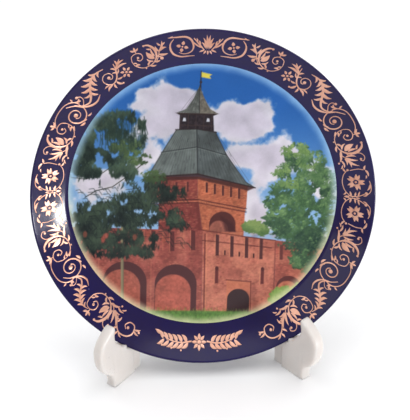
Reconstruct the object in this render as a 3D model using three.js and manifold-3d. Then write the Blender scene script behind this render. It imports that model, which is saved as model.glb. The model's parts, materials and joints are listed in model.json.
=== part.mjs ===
// Souvenir plate on a folding plastic stand.
//
// A porcelain plate with a dished rim leans back in a stand made of two
// leaves, hinged behind the plate on an upright pin. Each leaf has a foot
// and a hook in front, which hold the rim, and a leaning post behind, which
// the plate's foot ring rests against.
//
// Millimetres. X runs to the right, Y away from the viewer and Z up. The
// origin is on the table, at the middle of the whole object's footprint.

import * as THREE from 'three';
import { mergeVertices } from 'three/addons/utils/BufferGeometryUtils.js';
import Module from 'manifold-3d';

const wasm = await Module();
wasm.setup();

const degrees = THREE.MathUtils.degToRad;

// ---------------------------------------------------------------- dimensions

// Plate. Heights are along the plate's own axis, up from the well floor.
const plateRadius = 75;
const rimWidth = 15;
const wellCoveWidth = 9;
const wellEdgeRise = 0.8;
const rimStartSlope = 0.42;
const rimEndSlope = 0.725;
const rimRise = 9.3;
const lipRadius = 0.95;
const lipCrown = 0.75;
const wellThickness = 3.2;
const rimThickness = 2.3;
const footRingInset = 4.8;
const footRingWidth = 2.2;
const footRingHeight = 2.3;
const footRingSplay = 0.7;

// Printed films on the glaze. They are far thinner on a real plate.
const filmThickness = 0.2;
const filmGap = 0.3;
const pictureMargin = 0.3;
const bandInset = 1.3;
const goldInset = 1.6;

// How the plate stands.
const plateLean = degrees(15.5);
const tableClearance = 7;
const seatGap = 0.35;

// Stand. A leaf's outline is drawn with s along the leaf, away from the
// hinge, and z up. Its sides are measured out from the leaf's inner face.
// The front of the leaf is laid out from the seat, where the rim rests.
const leafAngle = degrees(38.5);
const hingeSetback = 26;
const leafThickness = 5.4;
const webThickness = 3.8;
const webInset = 0.8;
const blockBehindSeat = 5;
const blockOverlap = 4;
const archBehindSeat = 10.5;
const footBeyondSeat = 8.8;
const ankleHeight = 7.6;
const bulgeBeyondSeat = 16.4;
const bulgeAboveSeat = 2.3;
const tipBeyondSeat = 5.8;
const tipAboveSeat = 14.1;
const hookMouth = 2.6;
const archStart = 13;
const archSpring = 8;
const archRise = 9.5;
const postStartAboveRing = 3.2;
const postHeight = 70;
const postTopWidth = 8;
const postShoulder = 46;

// Hinge.
const knuckleRadius = 3.6;
const knuckleHeight = 10;
const knuckleCount = 4;
const knuckleStart = 3.6;
const knuckleGap = 0.3;
const pinRadius = 1.5;
const pinHeadRadius = 2.6;
const pinHeadHeight = 1.3;
const runningGap = 0.3;

// How the leaves swing shut as the plate is lifted clear of them.
const liftTravel = 100;
const closedAngle = degrees(1);
const foldTravel = leafAngle - closedAngle;
const seatClearSteps = 5;
const seatClearLift = 7.5;

// Fineness of the round surfaces.
const plateSegments = 72;
const smallSegments = 32;

// ------------------------------------------------------------------ materials

function finish(color, roughness, metalness = 0) {
  return new THREE.MeshStandardMaterial({ color, roughness, metalness });
}

const glazedPorcelain = finish(0xf2efe9, 0.15);
const cobaltPrint = finish(0x231f4f, 0.12);
const picturePrint = finish(0x8a8f86, 0.2);
const goldPrint = finish(0xd09a78, 0.28, 1);
const milkyPlastic = finish(0xe9e5df, 0.35);

// -------------------------------------------------------------- solid helpers

// Turns a closed geometry into a solid that can be cut and joined.
function toSolid(geometry) {
  const bare = geometry.index ? geometry.toNonIndexed() : geometry.clone();
  bare.deleteAttribute('normal');
  bare.deleteAttribute('uv');
  const merged = mergeVertices(bare, 1e-4);
  const mesh = new wasm.Mesh({
    numProp: 3,
    vertProperties: new Float32Array(merged.attributes.position.array),
    triVerts: new Uint32Array(merged.index.array),
  });
  return new wasm.Manifold(mesh);
}

// Turns a solid back into a geometry.
function toGeometry(solid) {
  const mesh = solid.getMesh();
  const geometry = new THREE.BufferGeometry();
  geometry.setAttribute('position', new THREE.BufferAttribute(mesh.vertProperties, 3));
  geometry.setIndex(new THREE.BufferAttribute(mesh.triVerts, 1));
  return geometry;
}

function part(name, geometry, material) {
  const shaded = geometry;
  shaded.computeVertexNormals();
  const mesh = new THREE.Mesh(shaded, material);
  mesh.name = name;
  return mesh;
}

// Turns a closed profile of (radius, height) points round the Z axis.
function turned(profile, segments) {
  return new THREE.LatheGeometry(profile, segments).rotateX(Math.PI / 2);
}

function uprightCylinder(radius, low, high) {
  const geometry = new THREE.CylinderGeometry(radius, radius, high - low, smallSegments);
  return geometry.rotateX(Math.PI / 2).translate(0, 0, (low + high) / 2);
}

// ---------------------------------------------------------------------- plate

const wellRadius = plateRadius - rimWidth;
const wellFlatRadius = wellRadius - wellCoveWidth;
const footRingRadius = wellFlatRadius - footRingInset;

// The glazed front from the centre to the top of the lip.
function frontProfile() {
  const front = new THREE.Path();
  const lipTop = plateRadius - lipRadius;
  const startReach = rimWidth / 5;
  const endReach = 4;
  front.moveTo(0, 0);
  front.lineTo(wellFlatRadius, 0);
  front.quadraticCurveTo(wellRadius - 3, 0, wellRadius, wellEdgeRise);
  front.bezierCurveTo(
    wellRadius + startReach, wellEdgeRise + startReach * rimStartSlope,
    lipTop - endReach, rimRise + lipCrown - endReach * rimEndSlope,
    lipTop, rimRise + lipCrown,
  );
  return front.getPoints(5);
}

// The back from the rim's edge to the centre, with the foot ring.
function backProfile() {
  const back = new THREE.Path();
  const ringOuter = footRingRadius + footRingWidth / 2;
  const ringInner = footRingRadius - footRingWidth / 2;
  back.moveTo(plateRadius, rimRise);
  back.lineTo(plateRadius - lipRadius * 0.3, rimRise - lipRadius);
  back.quadraticCurveTo(
    wellRadius + 3.5, wellEdgeRise - rimThickness,
    wellFlatRadius, -wellThickness,
  );
  back.lineTo(ringOuter + footRingSplay, -wellThickness);
  back.lineTo(ringOuter, -wellThickness - footRingHeight);
  back.lineTo(ringInner, -wellThickness - footRingHeight);
  back.lineTo(ringInner - footRingSplay, -wellThickness);
  back.lineTo(0, -wellThickness);
  return back.getPoints(6);
}

// The front's height at a radius, read off its profile.
function frontHeight(radius) {
  const points = frontProfile();
  const outer = points.findIndex((point) => point.x >= radius);
  const a = points[outer - 1];
  const b = points[outer];
  return THREE.MathUtils.mapLinear(radius, a.x, b.x, a.y, b.y);
}

function plateBody() {
  const profile = [...backProfile().reverse(), ...frontProfile().reverse()];
  return part('plate_body', turned(profile, plateSegments), glazedPorcelain);
}

// A film that follows the glazed front between two radii.
function film(name, innerRadius, outerRadius, layer, material) {
  const low = layer * filmGap + (layer - 1) * filmThickness;
  const inside = frontProfile().filter((p) => p.x > innerRadius && p.x < outerRadius);
  const track = [
    new THREE.Vector2(innerRadius, innerRadius > 0 ? frontHeight(innerRadius) : 0),
    ...inside,
    new THREE.Vector2(outerRadius, frontHeight(outerRadius)),
  ];
  const bottom = track.map((p) => new THREE.Vector2(p.x, p.y + low));
  const top = track.map((p) => new THREE.Vector2(p.x, p.y + low + filmThickness));
  const profile = [...bottom, ...top.reverse()];
  if (innerRadius > 0) profile.push(bottom[0].clone());
  return part(name, turned(profile, plateSegments), material);
}

// The plate's own frame has its origin at the middle of the rim plane.
function plate() {
  const group = new THREE.Group();
  const bandStart = wellRadius + pictureMargin;
  const bandEnd = plateRadius - bandInset;
  group.add(
    plateBody(),
    film('picture_print', 0, wellRadius - pictureMargin, 1, picturePrint),
    film('cobalt_band', bandStart, bandEnd, 1, cobaltPrint),
    film('gold_ornament', bandStart + goldInset, bandEnd - goldInset, 2, goldPrint),
  );
  group.children.forEach((mesh) => mesh.geometry.translate(0, 0, -rimRise));
  return group;
}

const rimCentreHeight = tableClearance + plateRadius * Math.cos(plateLean);
const ringDepth = rimRise + wellThickness + footRingHeight;

// Stands the plate up: its axis points forward and a little up.
function standPlateUp(group) {
  group.rotation.x = Math.PI / 2 - plateLean;
  group.position.set(0, 0, rimCentreHeight);
  return group;
}

// The space that the printed plate needs, a seat gap larger all round.
function plateClearance() {
  const print = filmGap + filmThickness;
  const grow = (p, up) => new THREE.Vector2(p.x + seatGap, p.y + up * seatGap);
  const front = frontProfile().map((p) => new THREE.Vector2(p.x, p.y + print + seatGap));
  const lip = front.pop();
  const back = backProfile().map((p) => grow(p, -1));
  back[back.length - 1].x = 0;
  const profile = [
    ...back.reverse(),
    new THREE.Vector2(plateRadius + seatGap, lip.y),
    lip,
    ...front.reverse(),
  ];
  const turnedPlate = turned(profile, plateSegments).translate(0, 0, -rimRise);
  turnedPlate.rotateX(Math.PI / 2 - plateLean);
  return turnedPlate.translate(0, 0, rimCentreHeight);
}

// ---------------------------------------------------------------------- stand

// Where the rim's edge crosses the leaf, at a distance out from its inner face.
function rimCrossing(out) {
  const cot = 1 / Math.tan(leafAngle);
  const reach = plateRadius * Math.hypot(cot, Math.sin(plateLean));
  const setback = hingeSetback + out / Math.sin(leafAngle);
  const turn = Math.atan2(Math.sin(plateLean), cot) + Math.asin(setback / reach);
  return {
    s: (plateRadius * Math.sin(turn)) / Math.sin(leafAngle) - out * cot,
    z: rimCentreHeight - plateRadius * Math.cos(turn) * Math.cos(plateLean),
  };
}

// The front of the leaf is laid out from here.
const seat = rimCrossing(leafThickness);
const blockStart = seat.s - blockBehindSeat;
const archEnd = seat.s - archBehindSeat;

// The plane of the foot ring's flat face, where it crosses a leaf.
function postFront(z) {
  const setback = hingeSetback - (ringDepth + seatGap) / Math.cos(plateLean);
  const rise = (rimCentreHeight - z) * Math.tan(plateLean);
  return (setback + rise) / Math.cos(leafAngle);
}

// The rear of the leaf: post, web, arch and front leg, up to the seat.
function webOutline() {
  const hingeSide = knuckleRadius + 2 * runningGap;
  const archHalf = (archEnd - archStart) / 2;
  const webTop = rimCrossing(webInset).z - seatGap;
  const ringDrop = ringDepth * Math.sin(plateLean) + footRingRadius * Math.cos(plateLean);
  const postStart = rimCentreHeight - ringDrop + postStartAboveRing;
  const shape = new THREE.Shape();
  shape.moveTo(hingeSide, 0);
  shape.lineTo(archStart, 0);
  shape.lineTo(archStart, archSpring);
  shape.absellipse(archStart + archHalf, archSpring, archHalf, archRise, Math.PI, 0, true);
  shape.lineTo(archEnd, 0);
  shape.lineTo(blockStart + blockOverlap, 0);
  shape.lineTo(blockStart + blockOverlap, webTop - 1);
  shape.lineTo(blockStart, webTop);
  shape.quadraticCurveTo(
    postFront(postStart) + 8, webTop + 4,
    postFront(postStart), postStart,
  );
  shape.lineTo(postFront(postHeight - 3), postHeight - 3);
  shape.quadraticCurveTo(
    postFront(postHeight), postHeight,
    postFront(postHeight) - 3, postHeight,
  );
  shape.quadraticCurveTo(
    postFront(postHeight) - postTopWidth, postHeight,
    postFront(postHeight) - postTopWidth, postHeight - 4,
  );
  shape.lineTo(hingeSide, postShoulder);
  shape.closePath();
  return shape;
}

// The front of the leaf at its full thickness: foot, seat and hook.
function hookOutline() {
  const seatFloor = seat.z - seatGap;
  const wall = seat.s + hookMouth;
  const foot = seat.s + footBeyondSeat;
  const bulge = { s: seat.s + bulgeBeyondSeat, z: seat.z + bulgeAboveSeat };
  const tip = { s: seat.s + tipBeyondSeat, z: seat.z + tipAboveSeat };
  const shape = new THREE.Shape();
  shape.moveTo(blockStart, 0);
  shape.lineTo(foot, 0);
  shape.quadraticCurveTo(foot - 0.4, ankleHeight / 2, foot + 0.8, ankleHeight);
  shape.bezierCurveTo(
    bulge.s - 2.5, ankleHeight + 1.5,
    bulge.s, bulge.z - 7,
    bulge.s, bulge.z,
  );
  shape.bezierCurveTo(bulge.s, bulge.z + 6, tip.s + 5, tip.z - 2.5, tip.s, tip.z);
  shape.quadraticCurveTo(tip.s - 1.2, tip.z - 2, tip.s + 0.4, tip.z - 5);
  shape.quadraticCurveTo(tip.s + 0.8, tip.z - 9, wall, seatFloor + 2.4);
  shape.quadraticCurveTo(wall - 0.6, seatFloor, wall - 2.4, seatFloor);
  shape.lineTo(seat.s - 3, seatFloor);
  shape.lineTo(blockStart, seatFloor - 1.6);
  shape.closePath();
  return shape;
}

// Extrudes an outline in (s, z) between two distances from the inner face.
function slab(outline, side, from, to) {
  const options = { depth: to - from, bevelEnabled: false, curveSegments: 8 };
  const geometry = new THREE.ExtrudeGeometry(outline, options).rotateX(Math.PI / 2);
  return toSolid(geometry.translate(0, side > 0 ? to : -from, 0));
}

// The knuckles of one leaf; the two leaves take turns up the pin.
function knuckles(side) {
  const pieces = [];
  const first = side > 0 ? 0 : 1;
  const bridgeLength = knuckleRadius + 3 * runningGap;
  for (let i = first; i < knuckleCount; i += 2) {
    const low = knuckleStart + i * (knuckleHeight + knuckleGap);
    const high = low + knuckleHeight;
    const bridge = new THREE.BoxGeometry(bridgeLength, knuckleRadius - webInset, high - low);
    bridge.translate(
      bridgeLength / 2,
      (side * (knuckleRadius + webInset)) / 2,
      (low + high) / 2,
    );
    pieces.push(toSolid(uprightCylinder(knuckleRadius, low, high)), toSolid(bridge));
  }
  return pieces;
}

// Where a leaf stands when it has swung inwards by an angle.
function leafPlacement(side, fold) {
  const turn = side * (leafAngle - fold) - Math.PI / 2;
  return new THREE.Matrix4().makeRotationZ(turn).setPosition(0, hingeSetback, 0);
}

// Cuts the seat to the rim's own shape, open all the way up its path.
function cutSeat(solid, side) {
  let cut = solid;
  for (let step = 0; step <= seatClearSteps; step += 1) {
    const lift = (seatClearLift * step) / seatClearSteps;
    const fold = (foldTravel * lift) / liftTravel;
    const room = plateClearance().translate(0, 0, lift);
    room.applyMatrix4(leafPlacement(side, fold).invert());
    cut = cut.subtract(toSolid(room));
  }
  return cut;
}

function leaf(name, side) {
  const webEnd = webInset + webThickness;
  let solid = slab(webOutline(), side, webInset, webEnd);
  solid = solid.add(slab(hookOutline(), side, 0, leafThickness));
  for (const knuckle of knuckles(side)) solid = solid.add(knuckle);
  const boreTop = knuckleStart + knuckleCount * (knuckleHeight + knuckleGap) + 1;
  solid = solid.subtract(toSolid(uprightCylinder(pinRadius + runningGap, 0, boreTop)));
  solid = cutSeat(solid, side);
  const mesh = part(name, toGeometry(solid), milkyPlastic);
  mesh.applyMatrix4(leafPlacement(side, 0));
  return mesh;
}

// The pin, with a moulded head below the lowest knuckle and above the top one.
function hingePin() {
  const low = knuckleStart - runningGap;
  const stack = knuckleCount * knuckleHeight + (knuckleCount - 1) * knuckleGap;
  const high = knuckleStart + stack + runningGap;
  const profile = [
    [0, low - pinHeadHeight],
    [pinHeadRadius, low - pinHeadHeight],
    [pinHeadRadius, low],
    [pinRadius, low],
    [pinRadius, high],
    [pinHeadRadius, high],
    [pinHeadRadius, high + pinHeadHeight * 0.5],
    [pinHeadRadius * 0.6, high + pinHeadHeight],
    [0, high + pinHeadHeight],
  ].map(([radius, height]) => new THREE.Vector2(radius, height));
  const mesh = part('hinge_pin', turned(profile, smallSegments), milkyPlastic);
  mesh.position.set(0, hingeSetback, 0);
  return mesh;
}

// ------------------------------------------------------------------- assembly

const souvenirPlate = new THREE.Group();
souvenirPlate.add(
  standPlateUp(plate()),
  leaf('right_leaf', 1),
  leaf('left_leaf', -1),
  hingePin(),
);

// Puts the origin at the middle of the footprint.
const footprint = new THREE.Box3().setFromObject(souvenirPlate, true);
souvenirPlate.position.y = -(footprint.min.y + footprint.max.y) / 2;
souvenirPlate.updateMatrixWorld(true);

export default souvenirPlate;
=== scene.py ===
# %% [markdown]
# # A souvenir plate on a folding stand
#
# This lesson builds a glazed porcelain plate with a printed picture, a cobalt
# rim and gilt scrollwork, standing in a folding stand of milky plastic. The
# frame holds the plain solids and every joint. We read it first, so that each
# piece made here lands exactly where the plain solid is.

import json
import math

import bmesh
import bpy
import numpy as np
from mathutils import Matrix, Vector


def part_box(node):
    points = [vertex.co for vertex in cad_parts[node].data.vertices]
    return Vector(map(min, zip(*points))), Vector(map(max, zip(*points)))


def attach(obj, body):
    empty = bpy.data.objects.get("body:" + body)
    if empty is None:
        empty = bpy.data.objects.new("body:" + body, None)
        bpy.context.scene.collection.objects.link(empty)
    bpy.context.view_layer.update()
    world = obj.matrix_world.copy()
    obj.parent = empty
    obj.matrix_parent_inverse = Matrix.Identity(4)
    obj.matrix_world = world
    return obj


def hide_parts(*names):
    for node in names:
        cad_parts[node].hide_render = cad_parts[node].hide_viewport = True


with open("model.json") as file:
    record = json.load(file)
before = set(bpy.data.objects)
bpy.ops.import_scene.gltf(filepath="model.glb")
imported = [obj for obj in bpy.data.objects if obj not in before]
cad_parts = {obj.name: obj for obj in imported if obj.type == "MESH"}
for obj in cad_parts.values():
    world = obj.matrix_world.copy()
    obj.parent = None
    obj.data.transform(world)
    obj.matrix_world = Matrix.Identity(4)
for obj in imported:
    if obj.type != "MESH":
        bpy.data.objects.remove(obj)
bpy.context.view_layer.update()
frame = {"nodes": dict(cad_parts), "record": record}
print("nodes:", sorted(frame["nodes"]))

# %% [markdown]
# ## Where the plate is
#
# The plate leans back, so it is easiest to draw it lying flat and then stand
# it up. Its own coordinates are x to the right, y up the picture, and h out
# of the front, all in millimetres from the middle of the well's floor. The
# frame's foot ring mount gives the direction of the axis and a point on the
# ring's flat face, and the rest follows from the plate's section.

# %% The plate's own coordinates
MM = 0.001

well_radius = 60.0
well_flat_radius = 51.0
well_edge_rise = 0.8
rim_rise = 9.3
lip_top_radius = 74.05
lip_top_rise = 10.05
well_thickness = 3.2
ring_face_depth = 5.5
ring_radius = 46.2

plate_low, plate_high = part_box("plate_body")
plate_radius = (plate_high.x - plate_low.x) / 2 / MM

ring_mount = next(m for m in frame["record"]["mounts"] if m["name"] == "plate_foot_ring")
plate_out = -Vector(ring_mount["axis"]).normalized()
plate_right = Vector((1, 0, 0))
plate_up = plate_out.cross(plate_right).normalized()
ring_centre = Vector(ring_mount["pos_m"]) - plate_right * ring_radius * MM
plate_origin = ring_centre + plate_out * ring_face_depth * MM

plate_axes = np.array([plate_right, plate_up, plate_out])


def stand_up(points):
    """Points in the plate's millimetres, as points in the frame's metres."""
    return np.array(plate_origin) + (np.asarray(points, float) * MM) @ plate_axes


def lie_down(points):
    """Points in the frame's metres, as points in the plate's millimetres."""
    return (np.asarray(points, float) - np.array(plate_origin)) @ plate_axes.T / MM


print(f"plate radius {plate_radius:.1f} mm, leaning {math.degrees(math.asin(plate_out.z)):.1f} degrees")

# %% [markdown]
# ## The plate's section
#
# A thrown or pressed plate is a shape of revolution, so one section says it
# all: a flat well, a soft rise, the sloping rim and a rounded lip. The
# section is a few Bezier curves. A curve keeps the glaze's long soft
# highlights, where a chain of straight lines would break them up.

# %% Curves for the section


def bezier(points, steps):
    """Points along a Bezier curve with any number of handles."""
    control = np.array(points, float)
    t = np.linspace(0, 1, steps)[:, None]
    order = len(control) - 1
    made = np.zeros((steps, control.shape[1]))
    for i, p in enumerate(control):
        made += math.comb(order, i) * (1 - t) ** (order - i) * t**i * p
    return made


front_section = np.vstack(
    [
        [[0.0, 0.0]],
        bezier([(well_flat_radius, 0), (57, 0), (well_radius, well_edge_rise)], 14),
        bezier(
            [(well_radius, well_edge_rise), (63, 2.06), (70.05, 7.15), (lip_top_radius, lip_top_rise)],
            36,
        )[1:],
    ]
)


def front_height(radius):
    """How high the glazed front is above the well's floor."""
    return np.interp(radius, front_section[:, 0], front_section[:, 1])


print(f"rim rises {front_height(lip_top_radius):.2f} mm above the well")

# %% [markdown]
# ## Small helpers for meshes
#
# Each mesh here is worked out as arrays of points and faces. Three helpers
# keep that short: one makes an object that is smooth up to its creases, one
# turns a section round the plate's axis, and one faces a closed mesh outwards.
# Working in arrays beats pushing points by hand, because a size can change.

# %% Mesh helpers


def make_piece(name, points, faces, material, sharp=math.radians(50)):
    """A mesh object from points in metres, shaded smooth with its creases kept."""
    mesh = bpy.data.meshes.new(name)
    mesh.from_pydata(np.asarray(points, float).tolist(), [], faces)
    mesh.validate()
    mesh.materials.append(material)
    mesh.shade_smooth()
    if sharp:
        mesh.set_sharp_from_angle(angle=sharp)
    piece = bpy.data.objects.new(name, mesh)
    bpy.context.scene.collection.objects.link(piece)
    return piece


def turned(section, segments, closed=False):
    """Points and faces of a section of (radius, height) turned round the axis."""
    section = np.asarray(section, float)
    angle = np.linspace(0, 2 * math.pi, segments, endpoint=False)
    points = []
    rows = []
    for radius, height in section:
        start = len(points)
        if radius < 1e-6:
            points.append((0.0, 0.0, height))
            rows.append([start] * segments)
        else:
            points += [(radius * math.cos(a), radius * math.sin(a), height) for a in angle]
            rows.append(list(range(start, start + segments)))
    pairs = list(zip(rows, rows[1:] + rows[:1])) if closed else list(zip(rows, rows[1:]))
    faces = []
    for low, high in pairs:
        for i in range(segments):
            j = (i + 1) % segments
            corners = [low[i], low[j], high[j], high[i]]
            face = list(dict.fromkeys(corners))
            if len(face) > 2:
                faces.append(face)
    return np.array(points), faces


def face_outwards(piece):
    """Turns every face of a closed mesh to the outside."""
    work = bmesh.new()
    work.from_mesh(piece.data)
    bmesh.ops.recalc_face_normals(work, faces=work.faces)
    work.to_mesh(piece.data)
    work.free()


print("three mesh helpers are ready")

# %% [markdown]
# ## Shader groups that several finishes share
#
# Glaze is never quite flat. It ripples over millimetres, carries a finer
# orange peel, and gathers a little dust. The same three things with other
# numbers describe moulded plastic, so they are built once as node groups:
# one gives a rippled normal, one lets a colour drift, and one makes specks.

# %% Group helpers


def new_group(name, inputs, outputs):
    """An empty shader group with float and colour sockets."""
    group = bpy.data.node_groups.new(name, "ShaderNodeTree")
    for label, kind, value in inputs:
        socket = group.interface.new_socket(label, in_out="INPUT", socket_type=kind)
        if value is not None:
            socket.default_value = value
    for label, kind in outputs:
        group.interface.new_socket(label, in_out="OUTPUT", socket_type=kind)
    return group


def node(tree, kind, values=None, settings=None):
    """A node with some of its sockets and settings filled in."""
    made = tree.nodes.new(kind)
    for label, value in (settings or {}).items():
        setattr(made, label, value)
    for label, value in (values or {}).items():
        made.inputs[label].default_value = value
    return made


def maths(tree, operation, first, second=None):
    """A Math node, with links for sockets and plain values for numbers."""
    made = node(tree, "ShaderNodeMath", settings={"operation": operation})
    for i, value in enumerate((first, second)):
        if value is None:
            continue
        if isinstance(value, bpy.types.NodeSocket):
            tree.links.new(value, made.inputs[i])
        else:
            made.inputs[i].default_value = value
    return made.outputs["Value"]


FLOAT = "NodeSocketFloat"
COLOUR = "NodeSocketColor"
VECTOR = "NodeSocketVector"
print("socket kinds:", FLOAT, COLOUR, VECTOR)

# %% [markdown]
# ### The ripple
#
# Poured glaze and moulded plastic both keep a long soft wave, with a finer
# grain on top. Real bumps would need millions of faces, so a Bump node bends
# the light instead. Heights are in metres, which makes them easy to judge.

# %% A rippled surface


def surface_ripple_group():
    """A normal with a long wave and a fine grain, and the grain by itself."""
    group = new_group(
        "surface_ripple",
        [
            ("Wave per metre", FLOAT, 120.0),
            ("Wave height", FLOAT, 0.00002),
            ("Grain per metre", FLOAT, 1500.0),
            ("Grain height", FLOAT, 0.000003),
        ],
        [("Normal", VECTOR), ("Grain", FLOAT)],
    )
    enter = node(group, "NodeGroupInput")
    leave = node(group, "NodeGroupOutput")
    place = node(group, "ShaderNodeTexCoord")
    wave = node(group, "ShaderNodeTexNoise", {"Detail": 1.0})
    grain = node(group, "ShaderNodeTexNoise", {"Detail": 2.0, "Roughness": 0.6})
    for noise_node, label in ((wave, "Wave per metre"), (grain, "Grain per metre")):
        group.links.new(place.outputs["Object"], noise_node.inputs["Vector"])
        group.links.new(enter.outputs[label], noise_node.inputs["Scale"])
    tall = maths(group, "MULTIPLY", wave.outputs["Fac"], enter.outputs["Wave height"])
    fine = maths(group, "MULTIPLY", grain.outputs["Fac"], enter.outputs["Grain height"])
    height = maths(group, "ADD", tall, fine)
    bump = node(group, "ShaderNodeBump", {"Strength": 1.0, "Distance": 1.0})
    group.links.new(height, bump.inputs["Height"])
    group.links.new(bump.outputs["Normal"], leave.inputs["Normal"])
    group.links.new(grain.outputs["Fac"], leave.inputs["Grain"])
    return group


ripple_group = surface_ripple_group()
print("made group", ripple_group.name)

# %% [markdown]
# ### The drift
#
# No fired or moulded surface has one even colour. Two noises, one of wide
# patches and one fine, mix a colour with a near neighbour of it. The patches
# also come out as a value, so the gloss can drift along with them.

# %% A drifting colour


def colour_drift_group():
    """A colour that drifts towards another one in soft patches."""
    group = new_group(
        "colour_drift",
        [
            ("Colour", COLOUR, (0.5, 0.5, 0.5, 1)),
            ("Other colour", COLOUR, (0.6, 0.6, 0.6, 1)),
            ("Patch per metre", FLOAT, 60.0),
            ("Fine per metre", FLOAT, 900.0),
            ("Amount", FLOAT, 0.5),
        ],
        [("Colour", COLOUR), ("Patch", FLOAT)],
    )
    enter = node(group, "NodeGroupInput")
    leave = node(group, "NodeGroupOutput")
    place = node(group, "ShaderNodeTexCoord")
    patch = node(group, "ShaderNodeTexNoise", {"Detail": 3.0})
    fine = node(group, "ShaderNodeTexNoise", {"Detail": 2.0})
    for noise_node, label in ((patch, "Patch per metre"), (fine, "Fine per metre")):
        group.links.new(place.outputs["Object"], noise_node.inputs["Vector"])
        group.links.new(enter.outputs[label], noise_node.inputs["Scale"])
    both = maths(group, "MULTIPLY_ADD", fine.outputs["Fac"], 0.5)
    group.links.new(patch.outputs["Fac"], both.node.inputs[2])
    stretched = node(group, "ShaderNodeMapRange", {"From Min": 0.5, "From Max": 1.0})
    group.links.new(both, stretched.inputs["Value"])
    share = maths(group, "MULTIPLY", stretched.outputs["Result"], enter.outputs["Amount"])
    mix = node(group, "ShaderNodeMix", settings={"data_type": "RGBA"})
    group.links.new(share, mix.inputs["Factor"])
    group.links.new(enter.outputs["Colour"], mix.inputs[6])
    group.links.new(enter.outputs["Other colour"], mix.inputs[7])
    group.links.new(mix.outputs[2], leave.inputs["Colour"])
    group.links.new(stretched.outputs["Result"], leave.inputs["Patch"])
    return group


drift_group = colour_drift_group()
print("made group", drift_group.name)

# %% [markdown]
# ### The specks
#
# Dust and small firing marks are round and rare. A cell pattern gives each
# cell a middle and a random colour: a speck is what lies near the middle, and
# the random colour picks the few cells that have one.

# %% Specks of dust and firing marks


def specks_group():
    """A mask of small round specks, of which only a share is kept."""
    group = new_group(
        "specks",
        [("Per metre", FLOAT, 250.0), ("Size", FLOAT, 0.08), ("Share", FLOAT, 0.1)],
        [("Mask", FLOAT)],
    )
    enter = node(group, "NodeGroupInput")
    leave = node(group, "NodeGroupOutput")
    place = node(group, "ShaderNodeTexCoord")
    cells = node(group, "ShaderNodeTexVoronoi")
    group.links.new(place.outputs["Object"], cells.inputs["Vector"])
    group.links.new(enter.outputs["Per metre"], cells.inputs["Scale"])
    near = maths(group, "LESS_THAN", cells.outputs["Distance"], enter.outputs["Size"])
    split = node(group, "ShaderNodeSeparateColor")
    group.links.new(cells.outputs["Color"], split.inputs["Color"])
    chosen = maths(group, "LESS_THAN", split.outputs["Red"], enter.outputs["Share"])
    both = maths(group, "MULTIPLY", near, chosen)
    group.links.new(both, leave.inputs["Mask"])
    return group


speck_group = specks_group()
print("made group", speck_group.name)

# %% [markdown]
# ## Finishes
#
# A finish starts from the maker's colours, given as the usual 0 to 255
# values, and goes through the shared groups. Numbers that are the same all
# over, such as the coat's weight, are set straight on the shader.

# %% Colour and material helpers


def linear(red, green, blue):
    """A colour of 0 to 255 values as the shader's linear numbers."""
    made = []
    for value in (red, green, blue):
        part = value / 255
        made.append(part / 12.92 if part <= 0.04045 else ((part + 0.055) / 1.055) ** 2.4)
    return (*made, 1.0)


def place_group(tree, group, values):
    """A shared group placed in a material, with its values filled in."""
    made = node(tree, "ShaderNodeGroup", settings={"node_tree": group})
    for label, value in values.items():
        made.inputs[label].default_value = value
    return made


def start_material(name, shader_values):
    """A material with its Principled shader's plain values set."""
    material = bpy.data.materials.new(name)
    material.use_nodes = True
    tree = material.node_tree
    shader = tree.nodes["Principled BSDF"]
    for label, value in shader_values.items():
        shader.inputs[label].default_value = value
    return material, tree, shader


def drifting_material(name, colour, other, drift, ripple, rough, shader_values, specks=None):
    """A finish with a drifting colour, a rippled normal and uneven gloss.

    drift is (patch per metre, fine per metre, amount), ripple is (wave per
    metre, wave height, grain per metre, grain height), rough is (lowest,
    highest) and specks is (per metre, size, share, colour).
    """
    material, tree, shader = start_material(name, shader_values)
    patch_scale, fine_scale, amount = drift
    drift_node = place_group(
        tree,
        drift_group,
        {
            "Colour": colour,
            "Other colour": other,
            "Patch per metre": patch_scale,
            "Fine per metre": fine_scale,
            "Amount": amount,
        },
    )
    wave_scale, wave_height, grain_scale, grain_height = ripple
    ripple_node = place_group(
        tree,
        ripple_group,
        {
            "Wave per metre": wave_scale,
            "Wave height": wave_height,
            "Grain per metre": grain_scale,
            "Grain height": grain_height,
        },
    )
    gloss = node(tree, "ShaderNodeMapRange", {"To Min": rough[0], "To Max": rough[1]})
    tree.links.new(drift_node.outputs["Patch"], gloss.inputs["Value"])
    tree.links.new(gloss.outputs["Result"], shader.inputs["Roughness"])
    tree.links.new(ripple_node.outputs["Normal"], shader.inputs["Normal"])
    colour_out = drift_node.outputs["Colour"]
    if specks:
        per_metre, size, share, speck_colour = specks
        speck_node = place_group(
            tree, speck_group, {"Per metre": per_metre, "Size": size, "Share": share}
        )
        mix = node(tree, "ShaderNodeMix", settings={"data_type": "RGBA"})
        tree.links.new(speck_node.outputs["Mask"], mix.inputs["Factor"])
        tree.links.new(colour_out, mix.inputs[6])
        mix.inputs[7].default_value = speck_colour
        colour_out = mix.outputs[2]
    tree.links.new(colour_out, shader.inputs["Base Color"])
    return material


print("white in the shader's numbers:", linear(255, 255, 255))

# %% [markdown]
# ### Glazed and bare porcelain
#
# The plate is white ware under a clear glaze, a touch cool in colour. A clear
# coat over a smooth base gives the two soft reflections that a thick glaze
# has. The foot ring is wiped clean before firing, so it is a warmer, rough
# white with a strong fine grain and no coat.

# %% Porcelain
porcelain_glaze = drifting_material(
    "porcelain_glaze",
    linear(236, 236, 240),
    linear(226, 228, 236),
    drift=(40, 700, 0.7),
    ripple=(110, 0.00003, 1400, 0.0000006),
    rough=(0.08, 0.16),
    shader_values={"Coat Weight": 0.5, "Coat Roughness": 0.04, "IOR": 1.52},
    specks=(160, 0.035, 0.12, linear(150, 140, 126)),
)

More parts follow.
